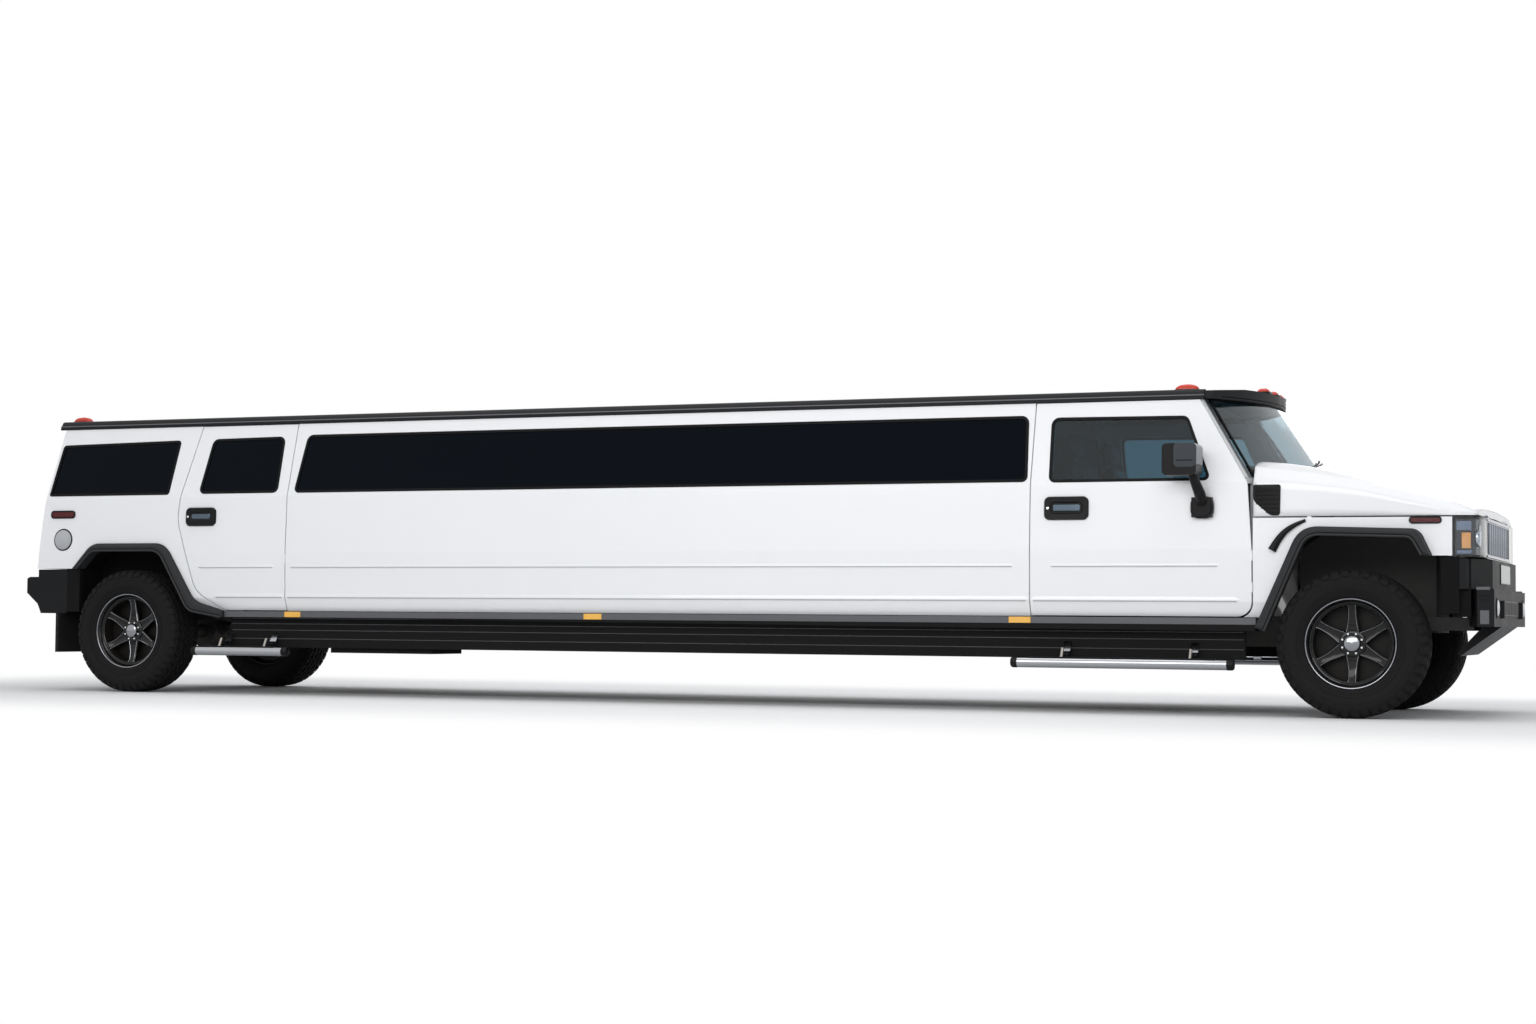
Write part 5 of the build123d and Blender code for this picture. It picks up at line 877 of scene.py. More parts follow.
# Side vents: dark frame with slanted louvres
VENT = [(FRONT_AXLE - 0.569, 1.376, 0.006), (FRONT_AXLE - 0.569, 1.290, 0.060),
        (FRONT_AXLE - 0.470, 1.204, 0.040), (FRONT_AXLE - 0.424, 1.204, 0.010),
        (FRONT_AXLE - 0.420, 1.376, 0.006)]


def hood_side(x, z, proud):
    """Point on the right face of the hood's side."""
    return (x, -(half_width(HOOD_SEAM) - taper(x)) - proud, z)


shape = Shape()
outer, inner = rounded(VENT, 0.007), rounded(VENT, -0.008)
shape.sweep([[hood_side(x, z, proud) for x, z in outline] for outline, proud in (
    (outer, 0.000), (outer, 0.0075), (inner, 0.0085), (inner, 0.0015))], trim_black, caps=False)
for i in range(6):
    z = 1.361 - 0.0262 * i
    ends = (FRONT_AXLE - 0.562 + max(0.0, (1.288 - z) * 1.10), FRONT_AXLE - 0.427)
    shape.sweep([[hood_side(x, z + rise, proud) for rise, proud in (
        (0.0, 0.0010), (0.002, 0.0035), (-0.015, 0.0105), (-0.018, 0.0080))] for x in ends], trim_black)
shape.both("vent_louvres", "vent_plastic", "hood_body")

# Fender strap: a tapered dark bow low on each fender
shape = Shape()
bow = []
for t in (i / 12 for i in range(13)):
    bulge = math.sin(math.pi * t)
    bow.append(side_point(FRONT_AXLE - 0.268 - 0.195 * t - 0.018 * bulge, 1.168 - 0.178 * t + 0.022 * bulge,
                          0.006 + 0.010 * math.sin(math.pi * min(1.0, t * 1.1)))[0])
shape.tube(bow, [0.009 + 0.017 * (i / 12) for i in range(13)], trim_black, sides=12)
shape.both("fender_bow", "trim_plastic")

# Flares: dark edge beads on the grey band. An edge is (distance out, bead radius), and its corners are
# (x from the axle, z, corner radius)
FLARE_OUT, FLARE_IN = (0.994, 0.0060), (1.0285, 0.0085)
FLARES = (
    (FLARE_OUT, FRONT_AXLE, [(-0.561, 0.527, 0.0), (-0.296, 1.128, 0.160), (0.385, 1.110, 0.080),
                             (0.455, 0.958, 0.0)]),
    (FLARE_IN, FRONT_AXLE, [(-0.505, 0.508, 0.0), (-0.259, 1.084, 0.120), (0.348, 1.066, 0.060),
                            (0.408, 0.958, 0.0)]),
    (FLARE_OUT, REAR_AXLE, [(-0.500, 0.890, 0.0), (-0.334, 1.067, 0.130), (0.300, 1.067, 0.160),
                            (0.560, 0.655, 0.160), (0.810, 0.586, 0.0)]),
    (FLARE_IN, REAR_AXLE, [(-0.450, 0.890, 0.0), (-0.318, 1.020, 0.100), (0.268, 1.020, 0.130),
                           (0.530, 0.590, 0.120), (0.810, 0.545, 0.0)]))


def open_outline(table):
    """Rounded points of an open table of corners, ends kept."""
    points = [table[0][:2]]
    for (xa, za, _), (x, z, radius), (xb, zb, _) in zip(table, table[1:], table[2:]):
        here, back, ahead = Vector((x, z)), Vector((xa - x, za - z)), Vector((xb - x, zb - z))
        reach = radius * math.tan((math.pi - back.angle(ahead)) / 2)
        start, end = here + back.normalized() * reach, here + ahead.normalized() * reach
        for t in (k / 8 for k in range(9)):
            points.append(tuple(start * (1 - t) ** 2 + here * 2 * t * (1 - t) + end * t * t))
    return points + [table[-1][:2]]


shape = Shape()
for (proud, radius), axle, corners in FLARES:
    follows = 0.9 if proud == FLARE_OUT[0] else 0.0
    outline = open_outline([(axle + x, z, corner) for x, z, corner in corners])
    shape.tube([(x, -proud + (taper(x) * follows if x > FRONT_AXLE else 0.0), z) for x, z in outline],
               radius, flare_black, sides=8)
shape.both("flare_beads", "flare_plastic")

# Head lamps: dark housing with bowls and an amber lamp behind a clear cover
LAMP_Y = half_width(1.189) - 0.057
LAMP_REAR = FRONT_AXLE + 0.5715
FASCIA = FRONT_AXLE + 0.734
LAMP_LINE = [(LAMP_REAR, -LAMP_Y), (FASCIA - 0.050, -LAMP_Y + 0.008), (FASCIA - 0.014, -LAMP_Y + 0.030),
             (FASCIA, -LAMP_Y + 0.070), (FASCIA, -0.637)]
LAMP_BACK = [(FRONT_AXLE + 0.642, -0.637), (LAMP_REAR, -LAMP_Y + 0.060)]
# How each corner moves when the outline is drawn in: a share of the amount, and a fixed step
LAMP_MOVES = [((0.0, 0.001), (1.0, 0.0)), ((-0.2, 0.0), (1.0, 0.0)), ((-0.7, 0.0), (0.7, 0.0)),
              ((-1.0, 0.0), (0.2, 0.0)), ((-1.0, 0.0), (0.0, -0.001))]


def drawn_in(amount):
    """Lamp outline seen from above, drawn in from its outer faces."""
    return [(x + amount * share_x + step_x, y + amount * share_y + step_y)
            for (x, y), ((share_x, step_x), (share_y, step_y)) in zip(LAMP_LINE, LAMP_MOVES)]


shape = Shape()
shape.bar(drawn_in(0.030) + [(x, y - 0.001) for x, y in LAMP_BACK], "z", (0.956, 1.178), lamp_dark)
for heights in ((0.948, 0.962), (1.172, 1.187)):
    shape.bar(drawn_in(0.001) + LAMP_BACK, "z", heights, trim_black)
shape.box((FRONT_AXLE + 0.572, -LAMP_Y + 0.001, 0.950), (FRONT_AXLE + 0.584, -LAMP_Y + 0.040, 1.186),
          trim_black)
shape.box((FASCIA - 0.030, -0.650, 0.950), (FASCIA - 0.001, -0.637, 1.186), trim_black)
for y, z, size in ((-0.735, 1.078, 0.072), (-0.842, 1.060, 0.052)):
    shape.disc((FASCIA - 0.031, y, z), (1, 0, 0),
               [(size * share, along) for share, along in (
                   (1, -0.002), (1, 0.008), (0.93, 0.010), (0.80, -0.006), (0.45, -0.014), (0.40, 0.002),
                   (0.25, 0.010), (0.0, 0.013))], bowl_bright)
for x_low, x_high, inner, z_low, z_high, look in ((0.622, 0.060, 0.010, 1.000, 1.092, amber),
                                                  (0.592, 0.056, 0.014, 1.105, 1.160, reflector),
                                                  (0.592, 0.056, 0.016, 0.968, 0.990, reflector)):
    shape.box((FRONT_AXLE + x_low, -LAMP_Y + inner, z_low), (FASCIA - x_high, -LAMP_Y + 0.032, z_high), look)
pair = shape.both("head_lamp_inside", "lamp_glass", bevel=0.002)
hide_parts("head_lamps")
shape = Shape()
shape.sweep([[(xa, ya, 0.951), (xa, ya, 1.185), (xb, yb, 1.185), (xb, yb, 0.951)]
             for (xa, ya), (xb, yb) in zip(drawn_in(0.0), drawn_in(0.003))], lamp_glass)
shape.both("head_lamp_cover", "lamp_glass")

# Grille: dark mesh behind the bars, rounded bar caps and a bright surround
MESH_REAR, MESH_FACE = FRONT_AXLE + 0.6402, FRONT_AXLE + 0.655
shape = Shape()
shape.box((MESH_REAR, -0.602, 0.975), (MESH_FACE, 0.602, 1.161), trim_black)
for i in range(31):
    y = -0.59 + 0.0393 * i
    shape.box((MESH_FACE, y - 0.002, 0.976), (MESH_FACE + 0.008, y + 0.002, 1.160), trim_black)
for i in range(6):
    z = 0.992 + 0.031 * i
    shape.box((MESH_FACE, -0.601, z - 0.002), (MESH_FACE + 0.006, 0.601, z + 0.002), trim_black)
shape.place("grille_mesh", "trim_plastic")
shape = Shape()
BAR_HALF, BAR_SPACES = 0.604, 10
for i in range(1, BAR_SPACES):
    y = -BAR_HALF + 2 * BAR_HALF / BAR_SPACES * i
    shape.bar([(FASCIA - 0.0065, y - 0.0145), (FASCIA - 0.0065, y + 0.0145), (FASCIA + 0.004, y + 0.009),
               (FASCIA + 0.004, y - 0.009)], "z", (0.976, 1.161), grille_chrome)
for z in (0.961, 1.175):
    shape.bar([(FASCIA - 0.001, z - 0.010), (FASCIA + 0.004, z - 0.006), (FASCIA + 0.004, z + 0.006),
               (FASCIA - 0.001, z + 0.010)], "y", (-0.628, 0.628), grille_chrome)
shape.place("grille_bars", "chrome", bevel=0.0015)

# Front bumper: fog lamps, ridge, hooks, side facets with painted highlights and a blank plate
BUMPER_FACE = FRONT_AXLE + 0.803
FOG_Z = 0.655
shape = Shape()
for y in (-0.760, 0.760):
    shape.disc((BUMPER_FACE - 0.002, y, FOG_Z), (1, 0, 0),
               [(0.062, 0.0), (0.062, 0.006), (0.055, 0.010), (0.050, 0.004), (0.0, 0.004)], trim_black)
    shape.disc((BUMPER_FACE + 0.002, y, FOG_Z), (1, 0, 0),
               [(0.048, 0.0), (0.046, 0.006), (0.030, 0.011), (0.0, 0.013)], white_lens)
shape.box((BUMPER_FACE - 0.001, -0.405, 0.610), (BUMPER_FACE + 0.006, 0.405, 0.700), trim_black)
for y in (-0.39 + 0.0867 * i for i in range(9)):
    shape.box((BUMPER_FACE + 0.005, y, 0.618), (BUMPER_FACE + 0.010, y + 0.072, 0.692), frame_black)
for y in (-0.540, 0.540):
    shape.tube([(BUMPER_FACE + out, y, z) for out, z in ((0.004, 0.60), (0.018, 0.62), (0.018, 0.675),
                                                         (0.004, 0.695))], 0.004, steel, sides=8)
shape.place("bumper_details", "bumper_plastic", bevel=0.002)
shape = Shape()
# Grey strips on the black bumper sides paint the highlight of the upper ridge and the lit lower facet
for bottom, top, x_low, x_high in ((0.758, 0.776, 0.706, 0.020), (0.560, 0.640, 0.726, 0.026)):
    shape.box((FRONT_AXLE + x_low, -0.939, bottom), (BUMPER_FACE - x_high, -0.934, top), strip_grey)
for z in (0.700, 0.725):
    shape.box((FRONT_AXLE + 0.715, -0.9385, z), (BUMPER_FACE - 0.024, -0.933, z + 0.008), trim_black)
shape.both("bumper_side_facets", "bumper_plastic", bevel=0.0015)
shape = Shape()
shape.box((BUMPER_FACE - 0.034, -0.265, 0.800), (BUMPER_FACE - 0.028, 0.265, 0.925), trim_black)
shape.box((BUMPER_FACE - 0.029, -0.255, 0.808), (BUMPER_FACE - 0.026, 0.255, 0.918), plate)
for y in (-0.20, 0.20):
    shape.disc((BUMPER_FACE - 0.026, y, 0.902), (1, 0, 0),
               [(0.006, 0.0), (0.005, 0.002), (0.0, 0.0025)], chrome, 12)
shape.place("front_plate_blank", "trim_plastic", bevel=0.001)

# Windshield: seal, wipers and pillar trim
SCREEN_LOW, SCREEN_RISE = 1.430, 0.495
SCREEN_HALF, SCREEN_DRAW = 0.907, 0.129


def screen_point(y, z, proud=0.0):
    """Point on the windshield's outer face."""
    share = (z - SCREEN_LOW) / SCREEN_RISE
    corner_x = FRONT_AXLE - 0.598 - 0.306 * share
    corner_y = SCREEN_HALF - SCREEN_DRAW * share
    middle_x = FRONT_AXLE - 0.280 - 0.320 * share
    bow_at = 1 - (y / corner_y) ** 2
    return Vector((corner_x + (middle_x - corner_x) * bow_at + proud, y, z + proud * 0.4))


shape = Shape()
for sign in (-1, 1):
    shape.tube([screen_point(sign * (0.893 - SCREEN_DRAW * k / 10), 1.432 + 0.0492 * k, 0.003)
                for k in range(11)], 0.009, seal, sides=8)
for z in (1.440, 1.917):
    half = SCREEN_HALF - SCREEN_DRAW * (z - SCREEN_LOW) / SCREEN_RISE - 0.012
    shape.tube([screen_point(-half + 2 * half * k / 24, z, 0.003) for k in range(25)], 0.009, seal, sides=8)
REACH = 0.56
for start in (-0.62, 0.02):
    arm = [screen_point(start + REACH * k / 8, 1.462 + 0.085 * k / 8, 0.030) for k in range(9)]
    blade = [screen_point(start + REACH * 0.25 + REACH * 0.95 * k / 8, 1.478 + 0.10 * k / 8, 0.012)
             for k in range(9)]
    shape.tube([screen_point(start, 1.452, 0.006), arm[0]], 0.012, trim_black)
    shape.tube(arm, 0.006, trim_black, sides=8)
    shape.tube(blade, 0.007, seal, sides=6)
shape.place("screen_trim", "trim_plastic")
shape = Shape()
PILLAR = ((DOOR_FRONT - 0.020, 0.9675, 1.432), (FRONT_AXLE - 0.910, 0.8385, 1.921),
          (FRONT_AXLE - 0.601, 0.9120, 1.432), (FRONT_AXLE - 0.903, 0.7830, 1.921))
BOX_FACES = [(0, 1, 2, 3), (4, 7, 6, 5), (0, 4, 5, 1), (1, 5, 6, 2), (2, 6, 7, 3), (3, 7, 4, 0)]
for sign in (-1, 1):
    lower, upper, wide_low, wide_up = (Vector((x, sign * y, z)) for x, y, z in PILLAR)
    out = Vector((0.35, sign * 0.93, 0.15)).normalized() * 0.004
    corners = [lower.lerp(wide_low, 0.42), wide_low, wide_up, upper.lerp(wide_up, 0.42)]
    shape.add(corners + [corner + out for corner in corners], BOX_FACES, pillar_blue)
shape.place("pillar_trim", "trim_plastic")

# Mirrors: bright shell over the dark head, with its glass, foot and arm
x0, x1 = FRONT_AXLE - 1.083, FRONT_AXLE - 0.875
y0, y1 = -1.190, -1.020
z0, z1 = 1.436, 1.627
shape = Shape()
shape.bar(rounded(quad_table(x0 + 0.070, x1, z0 + 0.050, z1, 0.028), 0.0025), "y",
          (y0 - 0.002, y1 + 0.002), dark_chrome)
shape.bar(rounded(quad_table(y0 + 0.014, y1 - 0.014, z0 + 0.016, z1 - 0.016, 0.018)), "x",
          (x0 - 0.004, x0 + 0.004), mirror_glass)
shape.box((x0 + 0.060, y0 - 0.004, z0 + 0.046), (x0 + 0.072, y1 + 0.003, z1 + 0.002), trim_black)
shape.box((x0 + 0.085, y0 - 0.005, z0 + 0.085), (x1 - 0.020, y0 - 0.001, z0 + 0.092), trim_black)
foot_y = -half_width(1.250)
foot = quad_table(FRONT_AXLE - 0.945, FRONT_AXLE - 0.815, 1.187, 1.313, 0.045)
shape.sweep([laid(rounded(foot, grow), "y", foot_y - out)
             for out, grow in ((-0.004, 0.004), (0.034, 0.004), (0.046, -0.010))], trim_black)
shape.tube([(FRONT_AXLE - back, foot_y - out, z) for back, out, z in (
    (0.880, 0.030, 1.280), (0.882, 0.075, 1.330), (0.905, 0.100, 1.400), (0.925, 0.105, 1.480))],
    [0.036, 0.034, 0.030, 0.030], trim_black, sides=16)
shape.both("mirror_shell", "mirror_shell", FRONT_DOOR, bevel=0.003)

# Steps: dark end caps, tread strip and grey posts
STEP_Y, STEP_Z = -1.060, 0.306
shape = Shape()
for low, high, posts in ((FRONT_AXLE - 2.041, FRONT_AXLE - 0.687, (FRONT_AXLE - 1.739, FRONT_AXLE - 0.944)),
                         (REAR_AXLE + 0.616, REAR_AXLE + 1.388, (REAR_AXLE + 0.820, REAR_AXLE + 1.194))):
    for x, way in ((low, -1), (high, 1)):
        shape.disc((x - way * 0.030, STEP_Y, STEP_Z), (way, 0, 0), [
            (0.0322, 0.0), (0.0335, 0.004), (0.0335, 0.032), (0.028, 0.042), (0.0, 0.046)], trim_black, 24)
    shape.box((low + 0.10, -1.078, 0.335), (high - 0.10, -1.042, 0.342), trim_black)
    for post in posts:
        shape.tube([(post, -1.052, 0.330), (post, -1.020, 0.395)], 0.010, steel, sides=12)
shape.both("step_details", "chrome", bevel=0.002)

# Tail: lamp lenses, tailgate handle, wiper, blank plate and step pad
GATE_PROFILE = [(0.890, 0.0), (1.251, 0.035), (1.427, 0.059), (1.925, 0.117)]


def gate_x(z):
    """Station of the tailgate's outer face at a height."""
    return BODY_REAR + along_rows(GATE_PROFILE, z)


shape = Shape()
for low, high, lens in ((0.966, 1.050, red_lens), (1.056, 1.130, white_lens), (1.136, 1.234, red_lens)):
    shape.sweep([[(gate_x(z) - out, y, z) for out, y in (
        (0.016, -0.900), (0.022, -0.892), (0.022, -0.763), (0.016, -0.755))] for z in (low, high)], lens)
shape.both("tail_lamp_lens", "red_lamp", bevel=0.002)
# Each box: height at which the face is taken, reach behind and ahead of it, y from and to, z from and to
shape = Shape()
for face, behind, ahead, y_low, y_high, z_low, z_high, look in (
        (1.08, 0.006, 0.010, -0.270, 0.270, 1.030, 1.160, trim_black),
        (1.08, 0.009, -0.004, -0.255, 0.255, 1.040, 1.150, plate),
        (1.20, 0.030, 0.010, -0.200, 0.200, 1.180, 1.206, trim_black),
        (1.18, 0.026, -0.004, -0.170, -0.110, 1.174, 1.182, white_lens),
        (1.18, 0.026, -0.004, 0.110, 0.170, 1.174, 1.182, white_lens),
        (1.30, 0.012, 0.008, 0.420, 0.600, 1.265, 1.325, trim_black),
        (1.30, 0.020, -0.010, 0.440, 0.580, 1.285, 1.310, gloss_black),
        (0.930, 0.002, 0.010, -0.700, 0.700, 0.930, 0.936, seal),
        (1.372, 0.002, 0.010, -0.700, 0.700, 1.372, 1.378, seal)):
    shape.box((gate_x(face) - behind, y_low, z_low), (gate_x(face) + ahead, y_high, z_high), look)
table = quad_table(-0.590, 0.590, 1.440, 1.820, 0.004)
shape.sweep([[(gate_x(z) - 0.002 + ahead, y, z) for y, z in rounded(table, grow)]
             for grow, ahead in ((0.016, 0.008), (0.016, 0.0), (-0.022, 0.0), (-0.022, 0.008))],
            seal, caps=False, closed=True)
wiper = [(gate_x(1.46 + 0.012 * k) - 0.022, 0.02 + 0.055 * k, 1.470 + 0.012 * k) for k in range(9)]
shape.tube([(gate_x(1.45) + 0.002, 0.0, 1.455), (gate_x(1.45) - 0.024, 0.0, 1.462)], 0.016, trim_black,
           sides=12)
shape.tube(wiper, 0.006, trim_black, sides=8)
shape.tube([(x + 0.013, y, z + 0.004) for x, y, z in wiper[2:]], 0.006, seal, sides=6)
shape.place("tailgate_trim", "trim_plastic", "tailgate_body", bevel=0.0015)
shape = Shape()
shape.box((REAR_END + 0.030, -0.880, 0.8285), (BODY_REAR - 0.004, 0.880, 0.836), frame_black)
for y in (-0.87 + 0.080 * i for i in range(22)):
    shape.box((REAR_END + 0.036, y, 0.8355), (BODY_REAR - 0.010, y + 0.058, 0.839), trim_black)
for y in (-0.80, 0.80):
    shape.box((REAR_END - 0.003, y - 0.060, 0.745), (REAR_END + 0.006, y + 0.060, 0.790), dark_red)
shape.place("rear_bumper_details", "bumper_plastic", bevel=0.0015)

# Soft edges on the solids that show
EDGE_WIDTHS = {
    0.012: "dashboard", 0.010: "rear_bumper", 0.008: "front_bumper", 0.004: "roof",
    0.003: "flares mud_flaps mirror_left mirror_right tail_lamps front_body_frame frame_rails",
    0.002: "rockers step_bars grille"}
for width, names in EDGE_WIDTHS.items():
    for name in names.split():
        soften(nodes[name], width, 3, 35)

# Seats: crowned cushions with sewn channels and piping on dark bases
SEAT_X = DOOR_REAR + 0.250
CORNER = 0.30
CUSHION_TURNS, CUSHION_ROWS = 72, 30
CHANNEL_HALF, CHANNEL_DIP = 0.009, 0.16


def cushion(name, centre, along, across, up, half, channels):
    """Stuffed cushion: closed crowned form, its sides drawn in, with sewn channels across its face."""
    along, across, up = (Vector(v).normalized() for v in (along, across, up))
    centre = Vector(centre)
    a, b, c = half
    seams = [-a + 2 * a * k / (channels + 1) for k in range(1, channels + 1)]
    shape = Shape()
    rings = []
    for r in range(CUSHION_ROWS + 1):
        v = -math.pi / 2 + math.pi * r / CUSHION_ROWS
        flat, z = swell(math.cos(v), 0.42), c * swell(math.sin(v), 0.62)
        ring = []
        for cosine, sine in circle(CUSHION_TURNS):
            x, y = a * flat * swell(cosine, CORNER), b * flat * swell(sine, CORNER)
            pull = 1 - 0.025 * (1 - min(1.0, (abs(x) / a) ** 2)) if abs(y) > 0.9 * b else 1.0
            crown = 1 + 0.16 * (1 - (x / a) ** 2) * (1 - (y / b) ** 2)
            groove = max([0.0] + [math.exp(-((x - at) / CHANNEL_HALF) ** 2) for at in seams])
            rise = z * crown * (1 - (CHANNEL_DIP * groove if z > 0 else 0.0))
            ring.append(centre + along * x + across * (y * pull) + up * rise)
        rings.append(ring)
    shape.sweep(rings, leather)
    welt = [centre + along * (a * 1.004 * swell(cosine, CORNER)) + across * (b * 1.004 * swell(sine, CORNER))
            for cosine, sine in circle(CUSHION_TURNS)]
    shape.tube(welt + welt[:1], 0.0042, leather, sides=6)
    piece = shape.place(name, "seat_leather", crease=80.0)
    return piece


FRONT_LEAN, FRONT_FACE = (-0.20, 0, 0.98), (0.98, 0, 0.20)
for side_name, y in (("right", -0.420), ("left", 0.420)):
    seat = cushion("front_seat_cushion_" + side_name, (SEAT_X + 0.290, y, 0.990), (0, 1, 0), (1, 0, 0.06),
                   (-0.06, 0, 1), (0.252, 0.262, 0.082), 3)
    cushion("front_seat_back_" + side_name, (SEAT_X - 0.030, y, 1.300), (0, 1, 0), FRONT_LEAN, FRONT_FACE,
            (0.246, 0.285, 0.062), 3)
    cushion("front_headrest_" + side_name, (SEAT_X - 0.105, y, 1.668), (0, 1, 0), FRONT_LEAN, FRONT_FACE,
            (0.130, 0.078, 0.040), 0)
    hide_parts("front_seats")
    shape = Shape()
    shape.box((SEAT_X + 0.040, y - 0.215, FLOOR_TOP), (SEAT_X + 0.470, y + 0.215, 0.905), dash)
    shape.box((SEAT_X + 0.020, y - 0.235, 0.860), (SEAT_X + 0.520, y + 0.235, 0.915), trim_black)
    for dy in (-0.06, 0.06):
        shape.tube([(SEAT_X - 0.085, y + dy, 1.560), (SEAT_X - 0.100, y + dy, 1.640)], 0.006, chrome)
    shape.place("front_seat_base_" + side_name, "trim_plastic", bevel=0.006)

BENCH_LOW, BENCH_HIGH = REAR_DOOR_FRONT + 0.060, DOOR_REAR - 0.460
SEATS = 7
pitch = (BENCH_HIGH - BENCH_LOW) / SEATS
for i in range(SEATS):
    x = BENCH_LOW + pitch * (i + 0.5)
    piece = cushion(f"bench_cushion_{i + 1}", (x, 0.590, 1.000), (1, 0, 0), (0, 1, 0), (0, 0.02, 1),
                    (pitch / 2 - 0.006, 0.272, 0.066), 4)
    if i == 0:
        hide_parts("cabin_seats")
    cushion(f"bench_back_{i + 1}", (x, 0.826, 1.262), (1, 0, 0), (0, 0.10, 1), (0, -1, 0.10),
            (pitch / 2 - 0.006, 0.172, 0.052), 4)
shape = Shape()
shape.box((BENCH_LOW, 0.330, FLOOR_TOP), (BENCH_HIGH, 0.895, 0.935), trim_black)
shape.box((BENCH_LOW, 0.868, 0.935), (BENCH_HIGH, 0.896, 1.425), dash)
shape.box((BENCH_LOW + 0.01, 0.322, 0.680), (BENCH_HIGH - 0.01, 0.330, 0.900), lining)
shape.place("bench_base", "trim_plastic", bevel=0.006)
for i, y in enumerate((-0.456, 0.0, 0.456)):
    cushion(f"rear_bench_cushion_{i + 1}", (REAR_AXLE + 0.100, y, 1.000), (0, 1, 0), (1, 0, 0.02),
            (-0.02, 0, 1), (0.222, 0.225, 0.066), 2)
    cushion(f"rear_bench_back_{i + 1}", (REAR_AXLE - 0.222, y, 1.285), (0, 1, 0), (-0.28, 0, 0.96),
            (0.96, 0, 0.28), (0.222, 0.200, 0.052), 2)
shape = Shape()
shape.box((REAR_AXLE - 0.250, -0.680, FLOOR_TOP), (REAR_AXLE + 0.300, 0.680, 0.935), trim_black)
shape.box((REAR_AXLE - 0.375, -0.680, 0.935), (REAR_AXLE - 0.320, 0.680, 1.470), dash)
shape.place("rear_bench_base", "trim_plastic", bevel=0.006)

# Cabin lining: carpet, headliner with lamps, and door cards
CARPET_LOW, CARPET_TOP = FLOOR_TOP - 0.0005, FLOOR_TOP + 0.007
shape = Shape()
shape.box((REAR_AXLE + 0.500, -0.870, CARPET_LOW), (DOOR_FRONT - 0.080, 0.870, CARPET_TOP), carpet)
shape.box((BODY_REAR + 0.115, -0.672, CARPET_LOW), (REAR_AXLE + 0.500, 0.672, CARPET_TOP), carpet)
shape.place("carpet", "liner_plastic", bevel=0.002)
shape = Shape()
shape.box((BODY_REAR + 0.200, -0.735, 1.928), (FRONT_AXLE - 0.980, 0.735, 1.938), lining)
for i in range(8):
    shape.disc((BODY_REAR + 0.900 + 0.980 * i, 0.0, 1.928), (0, 0, -1),
               [(0.055, -0.002), (0.055, 0.005), (0.045, 0.009), (0.0, 0.009)], white_lens, 28)
shape.place("headliner", "liner_plastic", bevel=0.002)
for card_name, x_low, x_high, body in (
        ("front_door_card", DOOR_REAR + 0.055, DOOR_FRONT - 0.090, FRONT_DOOR),
        ("rear_door_card", REAR_AXLE + 0.800, REAR_DOOR_FRONT - 0.060, REAR_DOOR)):
    middle = (x_low + x_high) / 2
    shape = Shape()
    for table, low, high, look, draw_in in (
            (quad_table(x_low, x_high, 0.670, 1.372, 0.040), -0.0695, -0.0780, dash, 0.003),
            (quad_table(x_low + 0.050, x_high - 0.050, 1.100, 1.320, 0.030), -0.0770, -0.0850, leather,
             0.004),
            (quad_table(x_low + 0.080, x_high - 0.120, 1.010, 1.070, 0.020), -0.0770, -0.1150, dash, 0.010),
            (quad_table(middle - 0.060, middle + 0.060, 1.190, 1.225, 0.012), -0.0840, -0.0960, chrome,
             0.004)):
        side_plate(shape, table, low, high, look, draw_in)
    at, out = side_point(x_low + 0.160, 0.820, -0.077)
    shape.disc(at, -out, [(0.085, 0.0), (0.085, 0.006), (0.076, 0.010), (0.070, 0.006), (0.0, 0.007)],
               trim_black)
    shape.both(card_name, "trim_plastic", body)

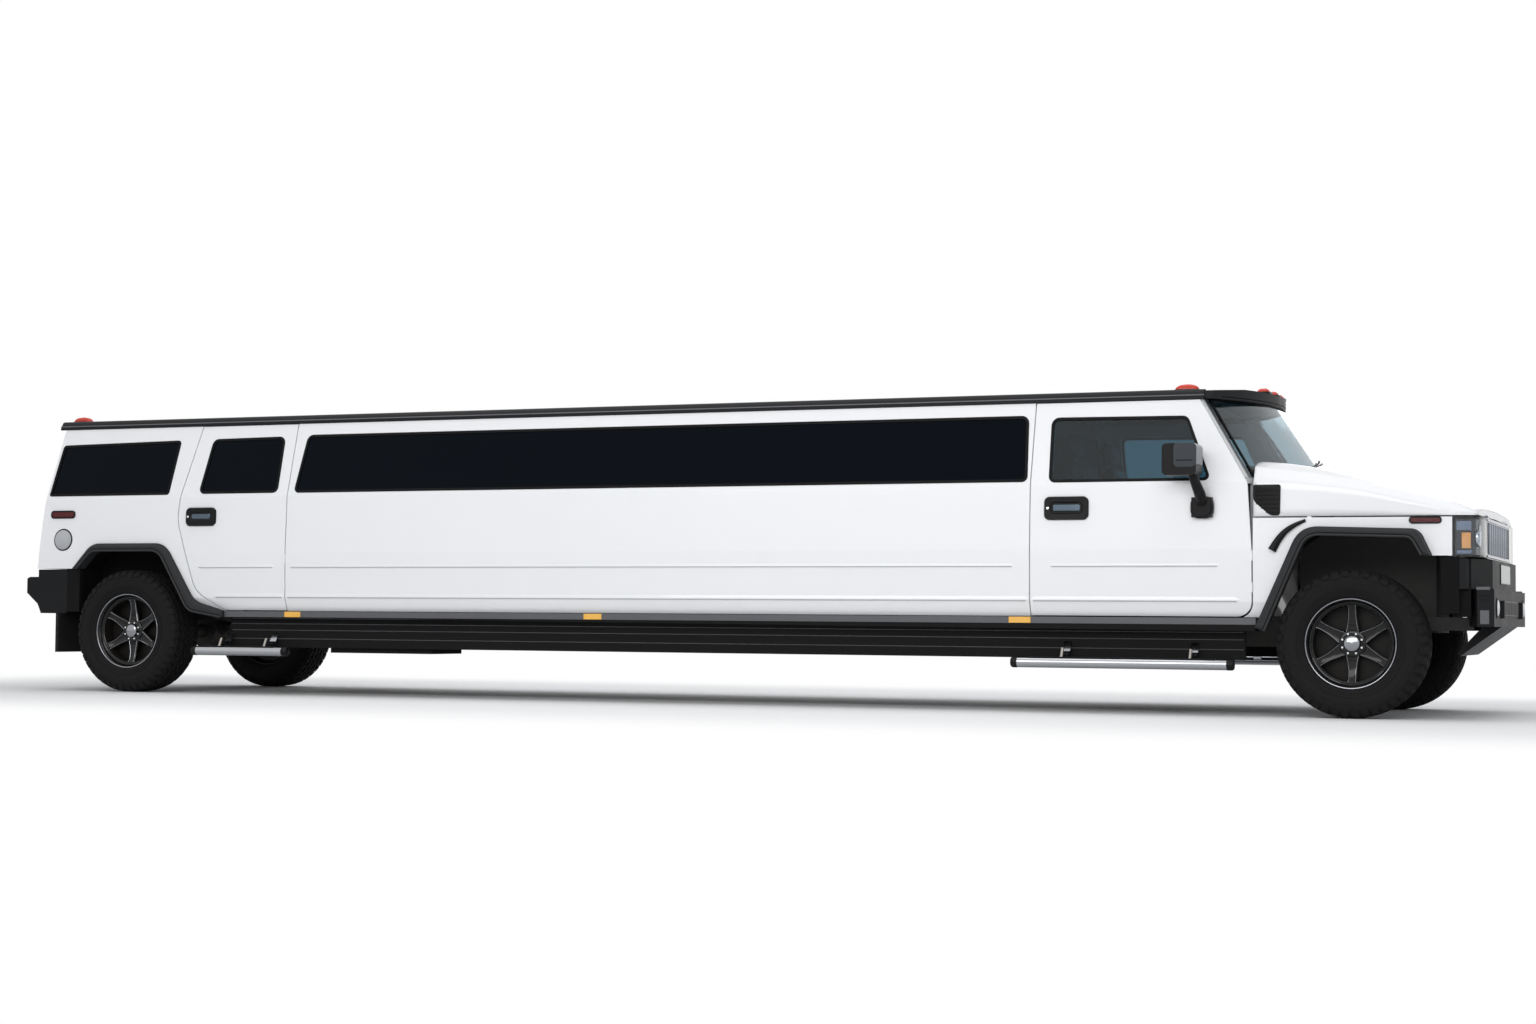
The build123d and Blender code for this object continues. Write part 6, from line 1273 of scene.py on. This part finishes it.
# Dashboard: instrument hood and dials, screen, vents and shelf line
BULK = FRONT_AXLE - 0.615
shape = Shape()
shape.box((BULK - 0.395, 0.190, 1.300), (BULK - 0.250, 0.590, 1.425), dash)
shape.box((BULK - 0.399, 0.215, 1.315), (BULK - 0.393, 0.565, 1.412), gloss_black)
for y in (0.300, 0.480):
    shape.disc((BULK - 0.398, y, 1.362), (-1, 0, 0),
               [(0.040, 0.0), (0.040, 0.004), (0.036, 0.004), (0.034, 0.001), (0.0, 0.001)], machined, 28)
shape.box((BULK - 0.397, -0.130, 1.180), (BULK - 0.380, 0.130, 1.360), gloss_black)
for y in (-0.720, -0.300, 0.700):
    for z in (1.300 + 0.016 * k for k in range(4)):
        shape.box((BULK - 0.393, y - 0.060, z), (BULK - 0.378, y + 0.060, z + 0.006), trim_black)
shape.box((BULK - 0.388, -0.640, 1.110), (BULK - 0.372, -0.200, 1.118), trim_black)
shape.place("dash_details", "trim_plastic", bevel=0.003)

# Under the hood: ribbed engine cover with its cap, and two hoses
low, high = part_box("engine")
top = min(high.z, 1.120)
shape = Shape()
shape.box((low.x + 0.030, low.y + 0.040, top - 0.010), (high.x - 0.060, high.y - 0.040, top + 0.040), dash)
for i in range(7):
    y = low.y + 0.070 + (high.y - low.y - 0.140) * i / 6
    shape.box((low.x + 0.050, y - 0.008, top + 0.038), (high.x - 0.090, y + 0.008, top + 0.048), trim_black)
shape.disc((high.x - 0.110, low.y + 0.090, top + 0.040), (0, 0, 1),
           [(0.032, 0.0), (0.032, 0.018), (0.026, 0.024), (0.0, 0.024)], trim_black, 24)
shape.place("engine_cover", "cast_iron", bevel=0.006)
shape = Shape()
for sign in (-1, 1):
    shape.tube([(high.x - 0.080, sign * 0.120, top + 0.010), (high.x + 0.020, sign * 0.200, top + 0.030),
                (FRONT_AXLE + 0.520, sign * 0.300, 1.080), (FRONT_AXLE + 0.596, sign * 0.320, 1.060)],
               0.024, rubber, sides=12)
shape.place("coolant_hoses", "flap_rubber")

# Dark valances that close the arches beside the bumpers
shape = Shape()
for axle, x_low, x_high, y_low, y_high, z_low, z_high in (
        (FRONT_AXLE, 0.503, 0.609, -0.924, -0.902, 0.620, 0.957),
        (FRONT_AXLE, 0.565, 0.672, -0.893, -0.880, 0.600, 0.946),
        (REAR_AXLE, -0.560, -0.448, -0.990, -0.950, 0.575, 0.889)):
    shape.box((axle + x_low, y_low, z_low), (axle + x_high, y_high, z_high), liner)
shape.both("valances", "liner_plastic", bevel=0.002)
